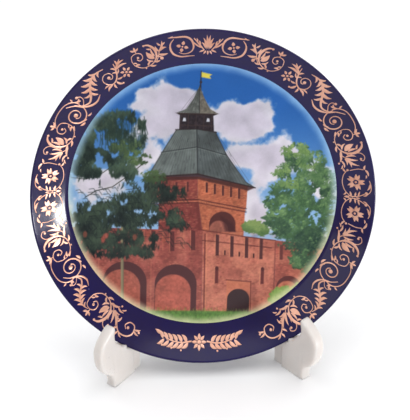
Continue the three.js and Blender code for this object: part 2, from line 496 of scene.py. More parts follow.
bare_porcelain = drifting_material(
    "bare_porcelain",
    linear(228, 220, 208),
    linear(204, 192, 176),
    drift=(300, 2500, 0.8),
    ripple=(700, 0.00002, 6000, 0.000008),
    rough=(0.7, 0.9),
    shader_values={},
)

print("made", porcelain_glaze.name, "and", bare_porcelain.name)

# %% [markdown]
# ### Cobalt and gilding
#
# The cobalt print sinks into the glaze and stays glossy, but it must stay
# dark under a white table, so its reflection is kept low. The gilding is a
# thin burnished metal layer: it is not fully metallic, since gold this thin
# lets some of the ground through, and a fine grain scatters its glints.

# %% Cobalt and gilding
cobalt_glaze = drifting_material(
    "cobalt_glaze",
    linear(34, 25, 62),
    linear(25, 21, 74),
    drift=(28, 420, 0.8),
    ripple=(150, 0.000025, 1700, 0.0000012),
    rough=(0.1, 0.2),
    shader_values={"Coat Weight": 0.06, "Coat Roughness": 0.05, "IOR": 1.5, "Specular IOR Level": 0.22},
    specks=(210, 0.04, 0.035, linear(110, 100, 140)),
)

gilding = drifting_material(
    "gilding",
    linear(232, 182, 160),
    linear(208, 150, 126),
    drift=(170, 2600, 0.9),
    ripple=(600, 0.000012, 5200, 0.000005),
    rough=(0.3, 0.46),
    shader_values={"Metallic": 0.82},
    specks=(900, 0.14, 0.05, linear(120, 84, 84)),
)

print("made", cobalt_glaze.name, "and", gilding.name)

# %% [markdown]
# ### Milky plastic
#
# The stand is moulded in a plastic that lets a little light in. Transparency
# would show its back through its front, which the real one doesn't do. Light
# that wanders below the surface keeps it solid and softens its shadows.

# %% Milky plastic
milky_plastic = drifting_material(
    "milky_plastic",
    linear(212, 207, 203),
    linear(203, 197, 193),
    drift=(60, 1300, 0.7),
    ripple=(90, 0.00006, 3200, 0.000002),
    rough=(0.26, 0.42),
    shader_values={
        "Subsurface Weight": 0.85,
        "Subsurface Radius": (1.0, 0.93, 0.88),
        "Subsurface Scale": 0.006,
        "IOR": 1.49,
    },
    specks=(300, 0.03, 0.05, linear(186, 180, 172)),
)
print("materials:", [material.name for material in bpy.data.materials])

# %% [markdown]
# ## The porcelain plate
#
# The blank plate could be modelled by pushing a cylinder about, but turning a
# drawn section is exact and keeps its wall even. The lip is rounded over,
# the foot ring has soft shoulders, and only the ring's flat face is bare,
# because a plate stands on it in the kiln and would stick if it were glazed.

# %% Turn the plate
lip = bezier([(lip_top_radius, lip_top_rise), (74.7, 10.42), (75.02, 9.95), (75, rim_rise)], 8)
lip_under = bezier([(75, rim_rise), (75, 8.75), (74.9, 8.5), (74.5, 8.15)], 6)
rim_back = bezier([(74.5, 8.15), (63.4, -1.5), (51.4, -3.2)], 30)
ring_outside = bezier([(51.4, -3.2), (48.3, -3.2), (47.7, -3.3), (47.45, -5.2)], 10)
ring_corner_out = bezier([(47.45, -5.2), (47.4, -5.5), (47.15, -5.5)], 5)
ring_corner_in = bezier([(45.25, -5.5), (45.0, -5.5), (44.95, -5.2)], 5)
ring_inside = bezier([(44.95, -5.2), (44.7, -3.3), (44.1, -3.2), (41.5, -3.2)], 10)
plate_section = np.vstack(
    [
        front_section,
        lip[1:],
        lip_under[1:],
        rim_back[1:],
        ring_outside[1:],
        ring_corner_out[1:],
        ring_corner_in,
        ring_inside[1:],
        [[20.0, -well_thickness], [0.0, -well_thickness]],
    ]
)
inner_steps = np.array([[r, 0.0] for r in np.linspace(0, 48, 9)])
plate_section = np.vstack([inner_steps, plate_section[1:]])
round_segments = 288
points, faces = turned(plate_section, round_segments)
plate_piece = make_piece("porcelain_plate", stand_up(points), faces, porcelain_glaze, sharp=None)
face_outwards(plate_piece)
plate_piece.data.materials.append(bare_porcelain)
bare = 0
for polygon in plate_piece.data.polygons:
    middle = lie_down([polygon.center])[0]
    across = math.hypot(middle[0], middle[1])
    if middle[2] < -ring_face_depth + 0.05 and 45.2 < across < 47.2:
        polygon.material_index = 1
        bare += 1
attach(plate_piece, "plate")
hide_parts("plate_body")
print(f"plate: {len(faces)} faces, {bare} of them bare")

# %% [markdown]
# ## The cobalt rim
#
# The blue is a printed layer, fired until it sinks into the glaze. It follows
# the rim from the edge of the picture up onto the rounded lip. Such a layer
# is laid on by hand and never sits quite in the middle: here it stops short
# on the upper right, where a thin white edge shows. A closed skin a few
# hundredths of a millimetre thick gives it a real edge to catch the light.

# %% Lay the cobalt skin
skin_first = 8
skin_edge_radius = 59.3
skin_curve = np.vstack([front_section[skin_first:], lip[1:], lip_under[1:4]])
curve_step = np.hypot(*np.diff(skin_curve, axis=0).T)
curve_length = np.concatenate([[0], np.cumsum(curve_step)])
curve_slope = np.gradient(skin_curve, axis=0)
curve_slope /= np.hypot(curve_slope[:, 0], curve_slope[:, 1])[:, None]
curve_normal = np.column_stack([-curve_slope[:, 1], curve_slope[:, 0]])
front_length = curve_length[: len(front_section) - skin_first]
band_start = np.interp(skin_edge_radius, front_section[skin_first:, 0], front_length)
band_lift = 0.05
band_turns = 360
band_rows = 52


def on_skin(length, lift):
    """Points (radius, height) at some lengths along the front, lifted off it."""
    made = []
    for k in range(2):
        along = np.interp(length, curve_length, skin_curve[:, k])
        made.append(along + lift * np.interp(length, curve_length, curve_normal[:, k]))
    return made


most_short = 1.35
shortest_at = math.radians(38)
slope_rows = 20
clock = np.linspace(0, 2 * math.pi, band_turns, endpoint=False)
short_by = most_short * np.maximum(np.cos(clock - shortest_at), 0) ** 1.6
share = np.concatenate(
    [np.linspace(0, 0.84, slope_rows), np.linspace(0.85, 1, band_rows - slope_rows)]
)
lengths = band_start + np.outer(curve_length[-1] - short_by - band_start, share)
rows = []
for order, lift in ((slice(None), band_lift), (slice(None, None, -1), 0.0)):
    radius, height = on_skin(lengths[:, order], lift)
    x = radius * np.sin(clock)[:, None]
    y = radius * np.cos(clock)[:, None]
    rows.append(np.stack([x, y, height], -1))
points = np.concatenate(rows, axis=1).reshape(-1, 3)
ring_size = 2 * band_rows
faces = []
for i in range(band_turns):
    after = (i + 1) % band_turns
    for k in range(ring_size):
        up = (k + 1) % ring_size
        faces.append((i * ring_size + k, i * ring_size + up, after * ring_size + up, after * ring_size + k))
band_piece = make_piece("cobalt_rim", stand_up(points), faces, cobalt_glaze)
face_outwards(band_piece)
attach(band_piece, "plate")
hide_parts("cobalt_band")
print(f"cobalt rim: {len(faces)} faces")

# %% [markdown]
# ## Painting the picture
#
# The picture in the well is a glossy print of an old brick gate tower under
# summer clouds. An image file could carry it, but a picture painted by code
# stays sharp in our hands: every wall, cloud and leaf below is a shape in
# millimetres that you can move. We paint on a fine grid of points, wet on
# wet, from the sky to the nearest leaves, and then copy the colours to the
# points of the disc.

# %% An empty canvas
canvas_half = 61.0
canvas_step = 0.2
canvas_count = int(2 * canvas_half / canvas_step) + 1
canvas_line = np.linspace(-canvas_half, canvas_half, canvas_count)
canvas_x, canvas_y = np.meshgrid(canvas_line, canvas_line)
canvas = np.zeros((canvas_count, canvas_count, 3))
dice = np.random.default_rng(17)


def window(low_x, high_x, low_y, high_y):
    """The part of the canvas around a shape, as two slices."""
    cut = []
    for low, high in ((low_y, high_y), (low_x, high_x)):
        first = int((low + canvas_half) / canvas_step)
        last = int((high + canvas_half) / canvas_step) + 2
        cut.append(slice(max(first, 0), max(min(last, canvas_count), 1)))
    return tuple(cut)


def brush(cut, cover, colour):
    """Lays a colour of 0 to 255 values over a part of the canvas."""
    share = np.clip(cover, 0, 1)[..., None]
    canvas[cut] += share * (np.array(colour, float) - canvas[cut])


def cloudy(scale, octaves, seed):
    """Soft random patches from 0 to 1 over the whole canvas, each about scale mm wide."""
    lot = np.random.default_rng(seed)
    total = np.zeros_like(canvas_x)
    weight = 0.0
    for octave in range(octaves):
        size = scale / 2**octave
        cells = int(2 * canvas_half / size) + 3
        lattice = lot.random((cells, cells))
        u = (canvas_x + canvas_half) / size
        v = (canvas_y + canvas_half) / size
        iu, iv = u.astype(int), v.astype(int)
        fu, fv = u - iu, v - iv
        fu = fu * fu * (3 - 2 * fu)
        fv = fv * fv * (3 - 2 * fv)
        low = lattice[iv, iu] * (1 - fu) + lattice[iv, iu + 1] * fu
        high = lattice[iv + 1, iu] * (1 - fu) + lattice[iv + 1, iu + 1] * fu
        share = 0.5**octave
        total += share * (low * (1 - fv) + high * fv)
        weight += share
    return total / weight


def smooth_step(low, high, value):
    """0 below low, 1 above high, and a soft rise between them."""
    t = np.clip((value - low) / (high - low), 0, 1)
    return t * t * (3 - 2 * t)


print(f"canvas of {canvas_count} by {canvas_count} points")

# %% [markdown]
# ### Brushes
#
# Three brushes are enough: a polygon, a stroke and an ellipse. Each works
# out how far every canvas point is from the shape's edge and lays its colour
# on softly there, so that nothing has a jagged edge.

# %% Shapes to paint with


def polygon_cover(cut, corners, soft=0.22):
    """How far a polygon covers each point of a part of the canvas."""
    x, y = canvas_x[cut], canvas_y[cut]
    nearest = np.full(x.shape, 1e9)
    inside = np.zeros(x.shape, bool)
    for (ax, ay), (bx, by) in zip(corners, corners[1:] + corners[:1]):
        dx, dy = bx - ax, by - ay
        length = dx * dx + dy * dy + 1e-12
        t = np.clip(((x - ax) * dx + (y - ay) * dy) / length, 0, 1)
        nearest = np.minimum(nearest, np.hypot(x - ax - t * dx, y - ay - t * dy))
        crosses = (ay > y) != (by > y)
        with np.errstate(divide="ignore", invalid="ignore"):
            at = (bx - ax) * (y - ay) / (by - ay if by != ay else 1e-12) + ax
        inside ^= crosses & (x < at)
    signed = np.where(inside, nearest, -nearest)
    return np.clip(signed / soft + 0.5, 0, 1)


def shape(corners, colour, soft=0.22, strength=1.0, grain=None, grain_amount=0.0):
    """Paints a polygon, its colour broken by a grain from 0 to 1."""
    xs, ys = zip(*corners)
    cut = window(min(xs) - 1, max(xs) + 1, min(ys) - 1, max(ys) + 1)
    tint = np.array(colour, float)
    if grain is not None:
        tint = tint * (1 + grain_amount * (grain[cut][..., None] - 0.5))
    brush(cut, strength * polygon_cover(cut, list(corners), soft), tint)


def line(corners, width, colour, strength=1.0, soft=0.22):
    """Paints a stroke along some points."""
    xs, ys = zip(*corners)
    cut = window(min(xs) - 1, max(xs) + 1, min(ys) - 1, max(ys) + 1)
    x, y = canvas_x[cut], canvas_y[cut]
    nearest = np.full(x.shape, 1e9)
    for (ax, ay), (bx, by) in zip(corners, corners[1:]):
        dx, dy = bx - ax, by - ay
        t = np.clip(((x - ax) * dx + (y - ay) * dy) / (dx * dx + dy * dy + 1e-12), 0, 1)
        nearest = np.minimum(nearest, np.hypot(x - ax - t * dx, y - ay - t * dy))
    brush(cut, strength * np.clip((width / 2 - nearest) / soft + 0.5, 0, 1), colour)


def ellipse(x0, y0, wide, tall, colour, turn=0.0, soft=0.25, strength=1.0, limit=None):
    """Paints an ellipse, or the part of it that limit covers."""
    reach = max(wide, tall) + 0.6
    cut = window(x0 - reach, x0 + reach, y0 - reach, y0 + reach)
    x, y = canvas_x[cut] - x0, canvas_y[cut] - y0
    c, s = math.cos(turn), math.sin(turn)
    away = np.hypot((x * c + y * s) / wide, (y * c - x * s) / tall)
    cover = np.clip((1 - away) * min(wide, tall) / soft + 0.5, 0, 1)
    if limit is not None:
        cover = cover * limit[cut]
    brush(cut, strength * cover, colour)


def mix(first, second, share):
    """A colour between two others."""
    return tuple(a + (b - a) * share for a, b in zip(first, second))


print(f"brushes paint on points {canvas_step} mm apart")

# %% [markdown]
# ### Sky
#
# Summer clouds have no outline. Soft puffs give the masses, random patches
# tear their edges, and a threshold turns the sum into cloud or sky. Moving a
# puff moves its cloud, which a purely random sky wouldn't allow.

# %% Sky and clouds
full = (slice(None), slice(None))
sky_high = np.array((46, 108, 176.0))
sky_low = np.array((150, 182, 214.0))
sky_share = smooth_step(48, -14, canvas_y)[..., None]
canvas[:] = sky_high + (sky_low - sky_high) * sky_share
canvas *= 0.97 + 0.06 * cloudy(9, 2, 1)[..., None]

# Each puff of cloud is its middle x and y, its half width and height, and its weight.
puffs = [
    (-22, 43, 8, 3.5, 0.9), (-26, 46.5, 5, 1.8, 0.7), (-17, 48, 4, 4, 0.9), (-13, 40, 8, 6, 1.0),
    (-10, 45, 5, 4, 0.9), (-17, 31, 10, 7, 1.0), (-25, 32, 5, 5, 0.8), (-6, 36, 6, 9, 0.9),
    (-31, 40, 4, 2, 0.6), (9, 34, 7, 6.5, 1.0), (16, 33, 9, 6, 1.1), (24, 37, 5, 5, 0.9),
    (21, 41.5, 4, 2.4, 0.8), (12, 39, 5, 3, 0.8), (28, 33, 3, 2.4, 0.7), (20, 29, 6, 2.6, 0.8),
    (24, 17.5, 12, 5.4, 1.2), (36, 19, 10, 5.4, 1.1), (26, 8, 5, 6, 0.9), (14, 19, 5, 3.4, 0.8),
    (30, 22, 7, 3, 0.8), (-24, 19, 5, 3.6, 0.9), (-29, 15, 5, 4, 0.9), (-50, 4, 10, 5.5, 1.1),
    (-43, 8, 6, 3, 0.9), (24, -4, 5, 6, 1.1), (27, -11, 7, 5, 1.0), (50, 12, 8, 7, 0.9),
    (55, 4, 5, 6, 0.9), (-33, 26, 6, 4, 0.7), (20, 3, 3, 2, 0.6),
]
cloud_mass = np.zeros_like(canvas_x)
for x0, y0, wide, tall, weight in puffs:
    away = ((canvas_x - x0) / wide) ** 2 + ((canvas_y - y0) / tall) ** 2
    cloud_mass += weight * np.exp(-0.9 * away)
ragged = cloudy(8, 6, 2) - 0.5
wisps = cloudy(2.2, 4, 8) - 0.5
cloud_cover = smooth_step(0.24, 0.78, cloud_mass + 1.5 * ragged + 0.6 * wisps)
cloud_light = np.array((231, 225, 230.0)) * (0.94 + 0.16 * (cloudy(6, 4, 3) - 0.5))[..., None]
cloud_light = cloud_light + smooth_step(0.5, 1.5, cloud_mass)[..., None] * np.array((-10, -13, -8.0))
brush(full, cloud_cover * 0.94, cloud_light)
print(f"{len(puffs)} puffs of cloud cover {cloud_cover.mean() * 100:.0f} % of the sky")

# %% [markdown]
# ## The tower
#
# The tower is an old fortress gate: a plank roof like a tent over brick
# walls, with a lookout under its own little roof. Light comes from the
# right, so each right-hand face is warm and each left-hand face is in shade.
# Long thin shapes carry the detail that the eye expects: planks, courses of
# brick, slots and a dark line under every ledge.

# %% Roofs and lookout
plank_light = (118, 126, 124)
plank_dark = (100, 108, 108)
shade_line = (44, 46, 50)
fine_grain = cloudy(0.9, 3, 4)
soft_grain = cloudy(4.5, 4, 5)

for x0 in (-2.7, -2.3):
    line([(x0, 48), (-2.4, 56)], 0.3, (52, 48, 54))
shape([(-2.2, 55.6), (2.4, 54.6), (1.2, 53.9), (2.0, 52.7), (-2.2, 53.4)], (222, 208, 96), soft=0.2)
ellipse(-2.4, 51.2, 0.55, 0.55, (60, 50, 50))

shape([(-2.9, 49.6), (-5.3, 44.2), (-8.4, 39.4), (-12.4, 37.8), (-2.6, 37.6)], (104, 108, 104),
      grain=fine_grain, grain_amount=0.5)
shape([(-2.9, 49.6), (-0.6, 44.2), (2.0, 39.6), (5.4, 37.7), (-2.6, 37.6)], (122, 118, 108),
      grain=fine_grain, grain_amount=0.5)
for lean in np.linspace(-7.6, 4.2, 9):
    line([(-2.8 + lean * 0.12, 48), (-2.8 + lean, 39)], 0.16, shade_line, 0.4)
line([(-2.9, 49.6), (-2.6, 37.8)], 0.28, shade_line, 0.8)
shape([(-13.2, 37.7), (5.9, 37.6), (3.6, 36.7), (-11.2, 36.7)], (58, 46, 44))
shape([(-11.1, 37.0), (3.4, 37.0), (3.9, 29.8), (-11.3, 30.0)], (54, 46, 52),
      grain=fine_grain, grain_amount=0.5)
for x0 in (-9.1, 1.2):
    shape([(x0 - 0.75, 34.0), (x0 + 0.75, 34.0), (x0 + 0.5, 35.4), (x0 - 0.4, 35.6)], (206, 208, 216))
for x0 in (-10.6, -7.4, -4.0, -0.6, 2.8):
    line([(x0, 36.8), (x0 - 0.1, 30.2)], 0.22, (92, 70, 62), 0.55)
line([(-11.2, 32.3), (3.7, 32.2)], 0.26, (96, 74, 64), 0.5)

roof_left = [(-12.4, 30.2), (-3.6, 30.6), (-2.6, 10.6), (-24.6, 8.6), (-18.6, 19.8)]
roof_right = [(-3.6, 30.6), (4.6, 29.4), (9.8, 19.4), (18.6, 7.4), (22.6, 5.0), (-2.6, 10.6)]
shape(roof_left, plank_light, grain=soft_grain, grain_amount=0.5)
shape(roof_right, plank_dark, grain=soft_grain, grain_amount=0.55)
for i in range(15):
    top_x, foot_x = -12.2 + i * 0.6, -24.2 + i * 1.52
    line([(top_x, 30.0), (foot_x, 9.0)], 0.2, mix(plank_light, shade_line, 0.75), 0.34)
for i in range(15):
    top_x, foot_x = -3.3 + i * 0.56, -1.8 + i * 1.68
    line([(top_x, 29.9), (foot_x, 10.4 - i * 0.36)], 0.2, mix(plank_dark, shade_line, 0.85), 0.36)
for side, count in ((-1, 26), (1, 38)):
    for _ in range(count):
        t = dice.uniform(0.05, 0.95)
        y0 = dice.uniform(9.5, 29)
        spread = (30 - y0) / 20
        x0 = -3.3 + side * t * (8.4 + (12.5 if side < 0 else 15) * spread)
        length = dice.uniform(0.8, 2.4)
        slide = side * t * 0.55 * length
        line([(x0, y0), (x0 + slide, y0 - length)], 0.24, (54, 58, 60), dice.uniform(0.25, 0.75))
line([(-18.8, 20.0), (-3.3, 22.7), (9.8, 19.3)], 0.42, (52, 54, 58), 0.85)
line([(-18.6, 19.6), (-3.3, 22.3), (9.8, 18.9)], 0.3, (168, 178, 172), 0.4)
line([(-3.6, 30.6), (-2.6, 10.6)], 0.42, (54, 56, 60), 0.9)
line([(4.6, 29.4), (9.8, 19.4), (18.6, 7.4), (22.8, 4.9)], 0.36, (60, 60, 62), 0.8)
line([(-12.4, 30.2), (-18.6, 19.8), (-24.8, 8.5)], 0.36, (60, 62, 62), 0.8)
line([(-12.8, 30.2), (-3.6, 30.7), (5.0, 29.4)], 0.5, (52, 44, 46), 0.9)
print("painted the roofs and the lookout")

# %% [markdown]
# ### Brick
#
# Old brick is read by its courses and by bricks of odd colours, not by every
# joint. So a wall is a grained polygon with thin lines of mortar across and
# scattered darker and lighter bricks. A slot or an arch is a dark shape with
# one lit edge, and that alone gives the wall its thickness.

# %% Brickwork
brick_lit = (184, 108, 78)
brick_low = (192, 118, 98)
brick_low_shade = (158, 82, 74)
mortar_dark = (92, 46, 44)
brick_grain = 0.55 * fine_grain + 0.45 * soft_grain


def courses(corners, rise, strength):
    """Thin lines of mortar across a wall, following the slope of its top."""
    (ax, ay), (bx, by), (cx, cy), (dx, dy) = corners
    count = int((ay - dy) / rise)
    for i in range(1, count):
        t = i / count
        left = (ax + (dx - ax) * t, ay + (dy - ay) * t)
        right = (bx + (cx - bx) * t, by + (cy - by) * t)
        line([left, right], 0.16, mortar_dark, strength)


def wall(corners, colour, strength=0.2):
    """A wall of brick with its top left, top right, low right and low left corners."""
    shape(corners, colour, grain=brick_grain, grain_amount=0.62)
    courses(corners, 0.75, strength)
    xs, ys = zip(*corners)
    cover = np.zeros_like(canvas_x)
    cut = window(min(xs), max(xs), min(ys), max(ys))
    cover[cut] = polygon_cover(cut, list(corners))
    for _ in range(int((max(xs) - min(xs)) * (max(ys) - min(ys)) * 0.5)):
        x0, y0 = dice.uniform(min(xs), max(xs)), dice.uniform(min(ys), max(ys))
        tint = mix(colour, (226, 160, 120) if dice.random() < 0.5 else (96, 44, 40), 0.6)
        ellipse(x0, y0, dice.uniform(0.35, 0.7), 0.22, tint, strength=0.5, limit=cover)


def slot(x0, top, foot, width=1.0, colour=(78, 42, 46), skew=0.02):
    """A narrow dark opening with a lit edge on its left."""
    drop = top - foot
    shape([(x0, top), (x0 + width, top - width * 0.16), (x0 + width + drop * skew, foot),
           (x0 + drop * skew, foot)], colour, strength=0.92)
    line([(x0 - 0.25, top), (x0 - 0.25 + drop * skew, foot)], 0.25, (222, 150, 108), 0.5)


wall([(-19.5, -1.0), (-2.2, 0.5), (0.2, -17), (-19.5, -18)], (134, 62, 58))
wall([(-2.2, 0.5), (18.9, -3.0), (18.6, -19), (0.2, -17)], brick_lit)
shape([(-3.4, -2.6), (-2.0, -2.6), (0.6, -17), (-1.4, -17)], (110, 50, 48), soft=0.8, strength=0.7)
wall([(-24.6, 8.8), (-2.6, 9.4), (-2.3, -1.0), (-24.4, -2.4)], (142, 70, 62))
wall([(-2.6, 9.4), (19.6, 5.8), (19.3, -4.8), (-2.3, -1.0)], brick_lit)
shape([(-25.4, 8.9), (-2.6, 10.9), (22.9, 4.9), (19.8, 3.4), (-2.6, 8.2), (-24.6, 6.8)], (70, 40, 40),
      soft=0.6, strength=0.82)
line([(-25, 8.6), (-2.6, 10.5), (23, 4.8)], 0.5, (52, 40, 42), 0.9)
for i in range(5):
    slot(1.0 + i * 3.6, 6.9 - i * 0.62, 2.2 - i * 0.62, 0.95)
for i in range(4):
    slot(-22.4 + i * 5.0, 6.2 + i * 0.25, 1.8 + i * 0.2, 0.9, (84, 44, 48))
string_courses = (
    (0.0, 0.55, (86, 42, 40)),
    (0.75, 0.3, (214, 146, 104)),
    (1.5, 0.5, (96, 48, 44)),
)
for drop, width, tint in string_courses:
    line([(-24, -2.2 - drop), (-2.3, -1.0 - drop), (19.4, -4.9 - drop)], width, tint, 0.8)
for i in range(30):
    x0 = -2.0 + i * 0.72
    line([(x0, -1.6 - i * 0.13), (x0, -2.5 - i * 0.13)], 0.24, (98, 48, 44), 0.6)


def arch(x0, foot, half, rise, colour, fill=None, fill_shift=(0, 0), fill_share=0.84):
    """A dark round arch on straight sides, with an optional bricked-up face inside it."""
    turn = np.linspace(0, math.pi, 22)
    top = [(x0 + half * math.cos(a), foot + rise - half + half * math.sin(a)) for a in turn]
    shape([(x0 + half, foot)] + top + [(x0 - half, foot)], colour, strength=0.95)
    if fill:
        inner = half * fill_share
        sx, sy = x0 + fill_shift[0], foot + rise - half + fill_shift[1]
        crown = [(sx + inner * math.cos(a), sy + inner * math.sin(a)) for a in turn]
        outline = [(sx + inner, foot)] + crown + [(sx - inner, foot)]
        shape(outline, fill, soft=0.5, grain=brick_grain, grain_amount=0.6)


arch(9.0, -15.8, 5.9, 9.4, (84, 42, 42), fill=(150, 92, 78), fill_shift=(-1.6, -2.6), fill_share=0.72)
shape([(8.0, -8.4), (14.0, -12.0), (15.0, -15.8), (10.6, -15.8)], (72, 36, 40), soft=1.4, strength=0.75)
line([(3.0, -16.2), (15.4, -17.8)], 0.5, (214, 142, 104), 0.6)
print("painted the tower's brickwork")

# %% Curtain walls and gate
wall([(0.2, -15.4), (33.2, -19.4), (34.2, -55), (1.0, -55)], brick_low)
wall([(33.2, -19.4), (60, -21.5), (60, -55), (34.2, -55)], (176, 96, 80))
wall([(-58, -14.6), (0.2, -15.4), (1.0, -55), (-58, -55)], brick_low_shade)
patches = cloudy(6.5, 4, 6)
low_wall = window(-60, 60, -56, -16)
brush(low_wall, 0.32 * smooth_step(0.45, 0.75, patches[low_wall]), (222, 152, 126))
brush(low_wall, 0.3 * smooth_step(0.55, 0.3, patches[low_wall]), (120, 58, 52))
line([(0.2, -15.2), (19.5, -17.9), (33.2, -19.4)], 0.5, (104, 50, 46), 0.9)
line([(0.3, -19.9), (31.5, -22.9)], 0.55, (96, 46, 44), 0.75)
line([(34.0, -21.4), (60, -23.2)], 0.5, (110, 54, 50), 0.7)
for i in range(4):
    slot(6.2 + i * 6.6, -17.0 - i * 0.55, -27.0 - i * 0.45, 1.5)
    if i < 3:
        slot(10.2 + i * 6.5, -24.4 - i * 0.6, -26.6 - i * 0.6, 0.7, (62, 34, 38))
for x0 in (35.2, 41.6, 48):
    slot(x0, -21.6, -28.4, 1.5, (100, 50, 50))
for x0, top in ((-4.9, -15.2), (-14.2, -15.8), (-22.6, -15.6), (-31, -16), (-39.5, -16), (-48, -16)):
    slot(x0, top, top - 9.4, 1.9, (92, 46, 48))
    line([(x0 - 3.2, top - 0.2), (x0 - 3.1, top - 9)], 0.4, (206, 130, 100), 0.5)
for x0 in (6.5, 27.2):
    shape([(x0, -33), (x0 + 1.4, -33), (x0 + 1.5, -40.2), (x0, -40.2)], (104, 44, 44), soft=0.4)
    ellipse(x0 + 0.7, -33, 0.75, 1.0, (86, 38, 40))
    line([(x0 - 0.5, -32.4), (x0 - 0.4, -40.6)], 0.35, (222, 156, 120), 0.6)
shape([(11.8, -38.2), (22.8, -39.0), (23.1, -54.6), (12.0, -54.6)], (206, 126, 90), soft=0.3, strength=0.55)
line([(11.6, -38.4), (22.9, -39.2)], 0.5, (100, 48, 44), 0.85)
line([(22.8, -39), (23.1, -54.4)], 0.45, (110, 52, 48), 0.8)
arch(17.4, -54.4, 5.1, 11.8, (56, 36, 42))
line([(1.4, -17), (1.9, -54)], 0.55, (104, 48, 46), 0.85)
line([(2.2, -17), (2.7, -54)], 0.4, (226, 158, 116), 0.45)
line([(33.1, -20), (33.6, -54)], 0.5, (118, 58, 54), 0.75)
for x0 in (-22.4, -46.0):
    line([(x0, -29), (x0, -54)], 0.4, (196, 122, 98), 0.5)
arch(-34.2, -54.4, 9.9, 24.0, (82, 44, 48), fill=(172, 96, 80), fill_shift=(-1.5, -2.4), fill_share=0.86)
arch(-11.2, -54.4, 9.5, 23.0, (82, 44, 48), fill=(180, 98, 82), fill_shift=(-1.2, -3.4), fill_share=0.85)
arch(40.0, -50.0, 5.6, 14.0, (96, 50, 50), fill=(186, 114, 90), fill_shift=(-0.6, -1.6), fill_share=0.86)
shape([(-60, -52.4), (-20, -53.6), (30, -53.4), (60, -51), (60, -61), (-60, -61)], (104, 148, 72),
      soft=1.0, grain=fine_grain, grain_amount=0.5)
for _ in range(900):
    x0, y0 = dice.uniform(-34, 46), dice.uniform(-60, -52.6)
    green = mix((70, 116, 50), (166, 190, 96), dice.random())
    line([(x0, y0), (x0 + dice.uniform(-0.3, 0.3), y0 + dice.uniform(0.4, 1.1))], 0.2, green, 0.55)
print("painted the walls, arches and grass")

# %% [markdown]
# ## Trees
#
# A tree in such a print is thousands of dabs. Dark dabs go on first to give
# the mass, then lighter ones nearer the light, so holes and depth come by
# themselves. The left tree hangs in long needles, and the right one is a
# round summer crown. A seeded die keeps every run the same.

# %% Paint the trees


def foliage(clumps, count, dark, light, size, hang=0.0, seed=1, gaps=0.0):
    """Dabs of leaf colour in clumps of (x, y, wide, tall), from dark to light.

    hang makes the dabs droop, and gaps leaves holes where the sky shows.
    """
    lot = np.random.default_rng(seed)
    holes = cloudy(3.6, 3, seed + 100)
    light_spots = cloudy(5.0, 3, seed + 200)
    share = np.array([wide * tall for _, _, wide, tall in clumps], float)
    picks = lot.choice(len(clumps), count, p=share / share.sum())
    for i, pick in enumerate(picks):
        x0, y0, wide, tall = clumps[pick]
        turn = lot.uniform(0, 2 * math.pi)
        away = math.sqrt(lot.random()) * (0.8 + 0.5 * lot.random())
        x = x0 + wide * away * math.cos(turn)
        y = y0 + tall * away * math.sin(turn)
        column = min(max(int((x + canvas_half) / canvas_step), 0), canvas_count - 1)
        row = min(max(int((y + canvas_half) / canvas_step), 0), canvas_count - 1)
        if holes[row, column] < gaps:
            continue
        lit = 0.35 + 0.35 * math.sin(turn) * away + 1.6 * (light_spots[row, column] - 0.5)
        tint = mix(dark, light, np.clip((0.25 + 0.75 * i / count) * lit + 0.3 * lot.random(), 0, 1))
        long = size * lot.uniform(0.5, 1.5)
        droop = math.pi / 2 + lot.normal(0, 0.4) if hang else lot.uniform(0, math.pi)
        slim = 0.3 if hang else 0.55
        ellipse(x, y - hang * long * 0.5, long, long * slim, tint, droop, soft=0.3,
                strength=lot.uniform(0.5, 0.9))


line([(-35.6, -14), (-35.2, -48)], 1.3, (148, 140, 112), 0.95, soft=0.4)
line([(-35.1, -20), (-34.8, -48)], 0.4, (100, 96, 78), 0.6)
line([(-52, -1), (-47, 2.2), (-40, 4.0), (-34, 8.5), (-27, 14.5), (-24.8, 15.8)], 0.4, (60, 60, 52), 0.85)
line([(-58, 8), (-52, 7.2), (-46, 9.0), (-42, 12)], 0.4, (52, 56, 50), 0.7)

conifer = [
    (-50, 23, 6, 7), (-45, 31, 7, 4), (-37, 35.5, 7, 2.6), (-30, 33, 4, 3), (-27, 28, 1.4, 4.5),
    (-44, 23, 8, 8), (-37, 20, 6, 5), (-32, 24, 4, 2.4), (-50, 12, 8, 4), (-41, 10, 8, 5),
    (-54, 17, 4, 6), (-34, 12, 4, 4), (-30.5, 27, 1.2, 4), (-34, 29, 3, 3),
]
low_conifer = [
    (-30, -2, 9, 4), (-21, 1, 8, 3.5), (-13, 2.5, 5, 2.6), (-40, -8, 12, 6), (-50, -10, 8, 6),
    (-26, -8, 11, 6), (-17, -8, 7, 5), (-34, -17, 11, 5), (-46, -20, 9, 5), (-24, -20, 5, 3.6),
    (-38, -25, 12, 3), (-52, -16, 7, 8), (-24, 6, 7, 2.6), (-28, -26, 6, 2.6), (-12, -12, 5, 3),
]
foliage(conifer, 6800, (26, 42, 40), (92, 116, 92), 0.8, hang=1.0, seed=11, gaps=0.46)
foliage(low_conifer, 9400, (24, 36, 38), (76, 96, 76), 0.8, hang=1.0, seed=12, gaps=0.39)
foliage([(-29, 18, 5, 3.5), (-34, 23, 6, 3), (-22, 9, 5, 2.5)], 700, (60, 84, 52), (120, 146, 88), 0.6,
        seed=13, gaps=0.42)
for _ in range(110):
    x0, y0 = dice.uniform(-46, -25.5), dice.uniform(26, 36)
    drop = dice.uniform(3, 8)
    bend = dice.uniform(-0.8, 1.6)
    line([(x0, y0), (x0 + bend * 0.4, y0 - drop * 0.5), (x0 + bend, y0 - drop)], 0.35, (44, 66, 58), 0.7,
         soft=0.35)
for _ in range(120):
    x0, y0 = dice.uniform(-56, -8), dice.uniform(-22, 4)
    reach = dice.uniform(2, 5)
    line([(x0, y0), (x0 + reach * 0.6, y0 + 0.3), (x0 + reach, y0 - reach * 0.5)], 0.3, (30, 42, 42), 0.6,
         soft=0.35)
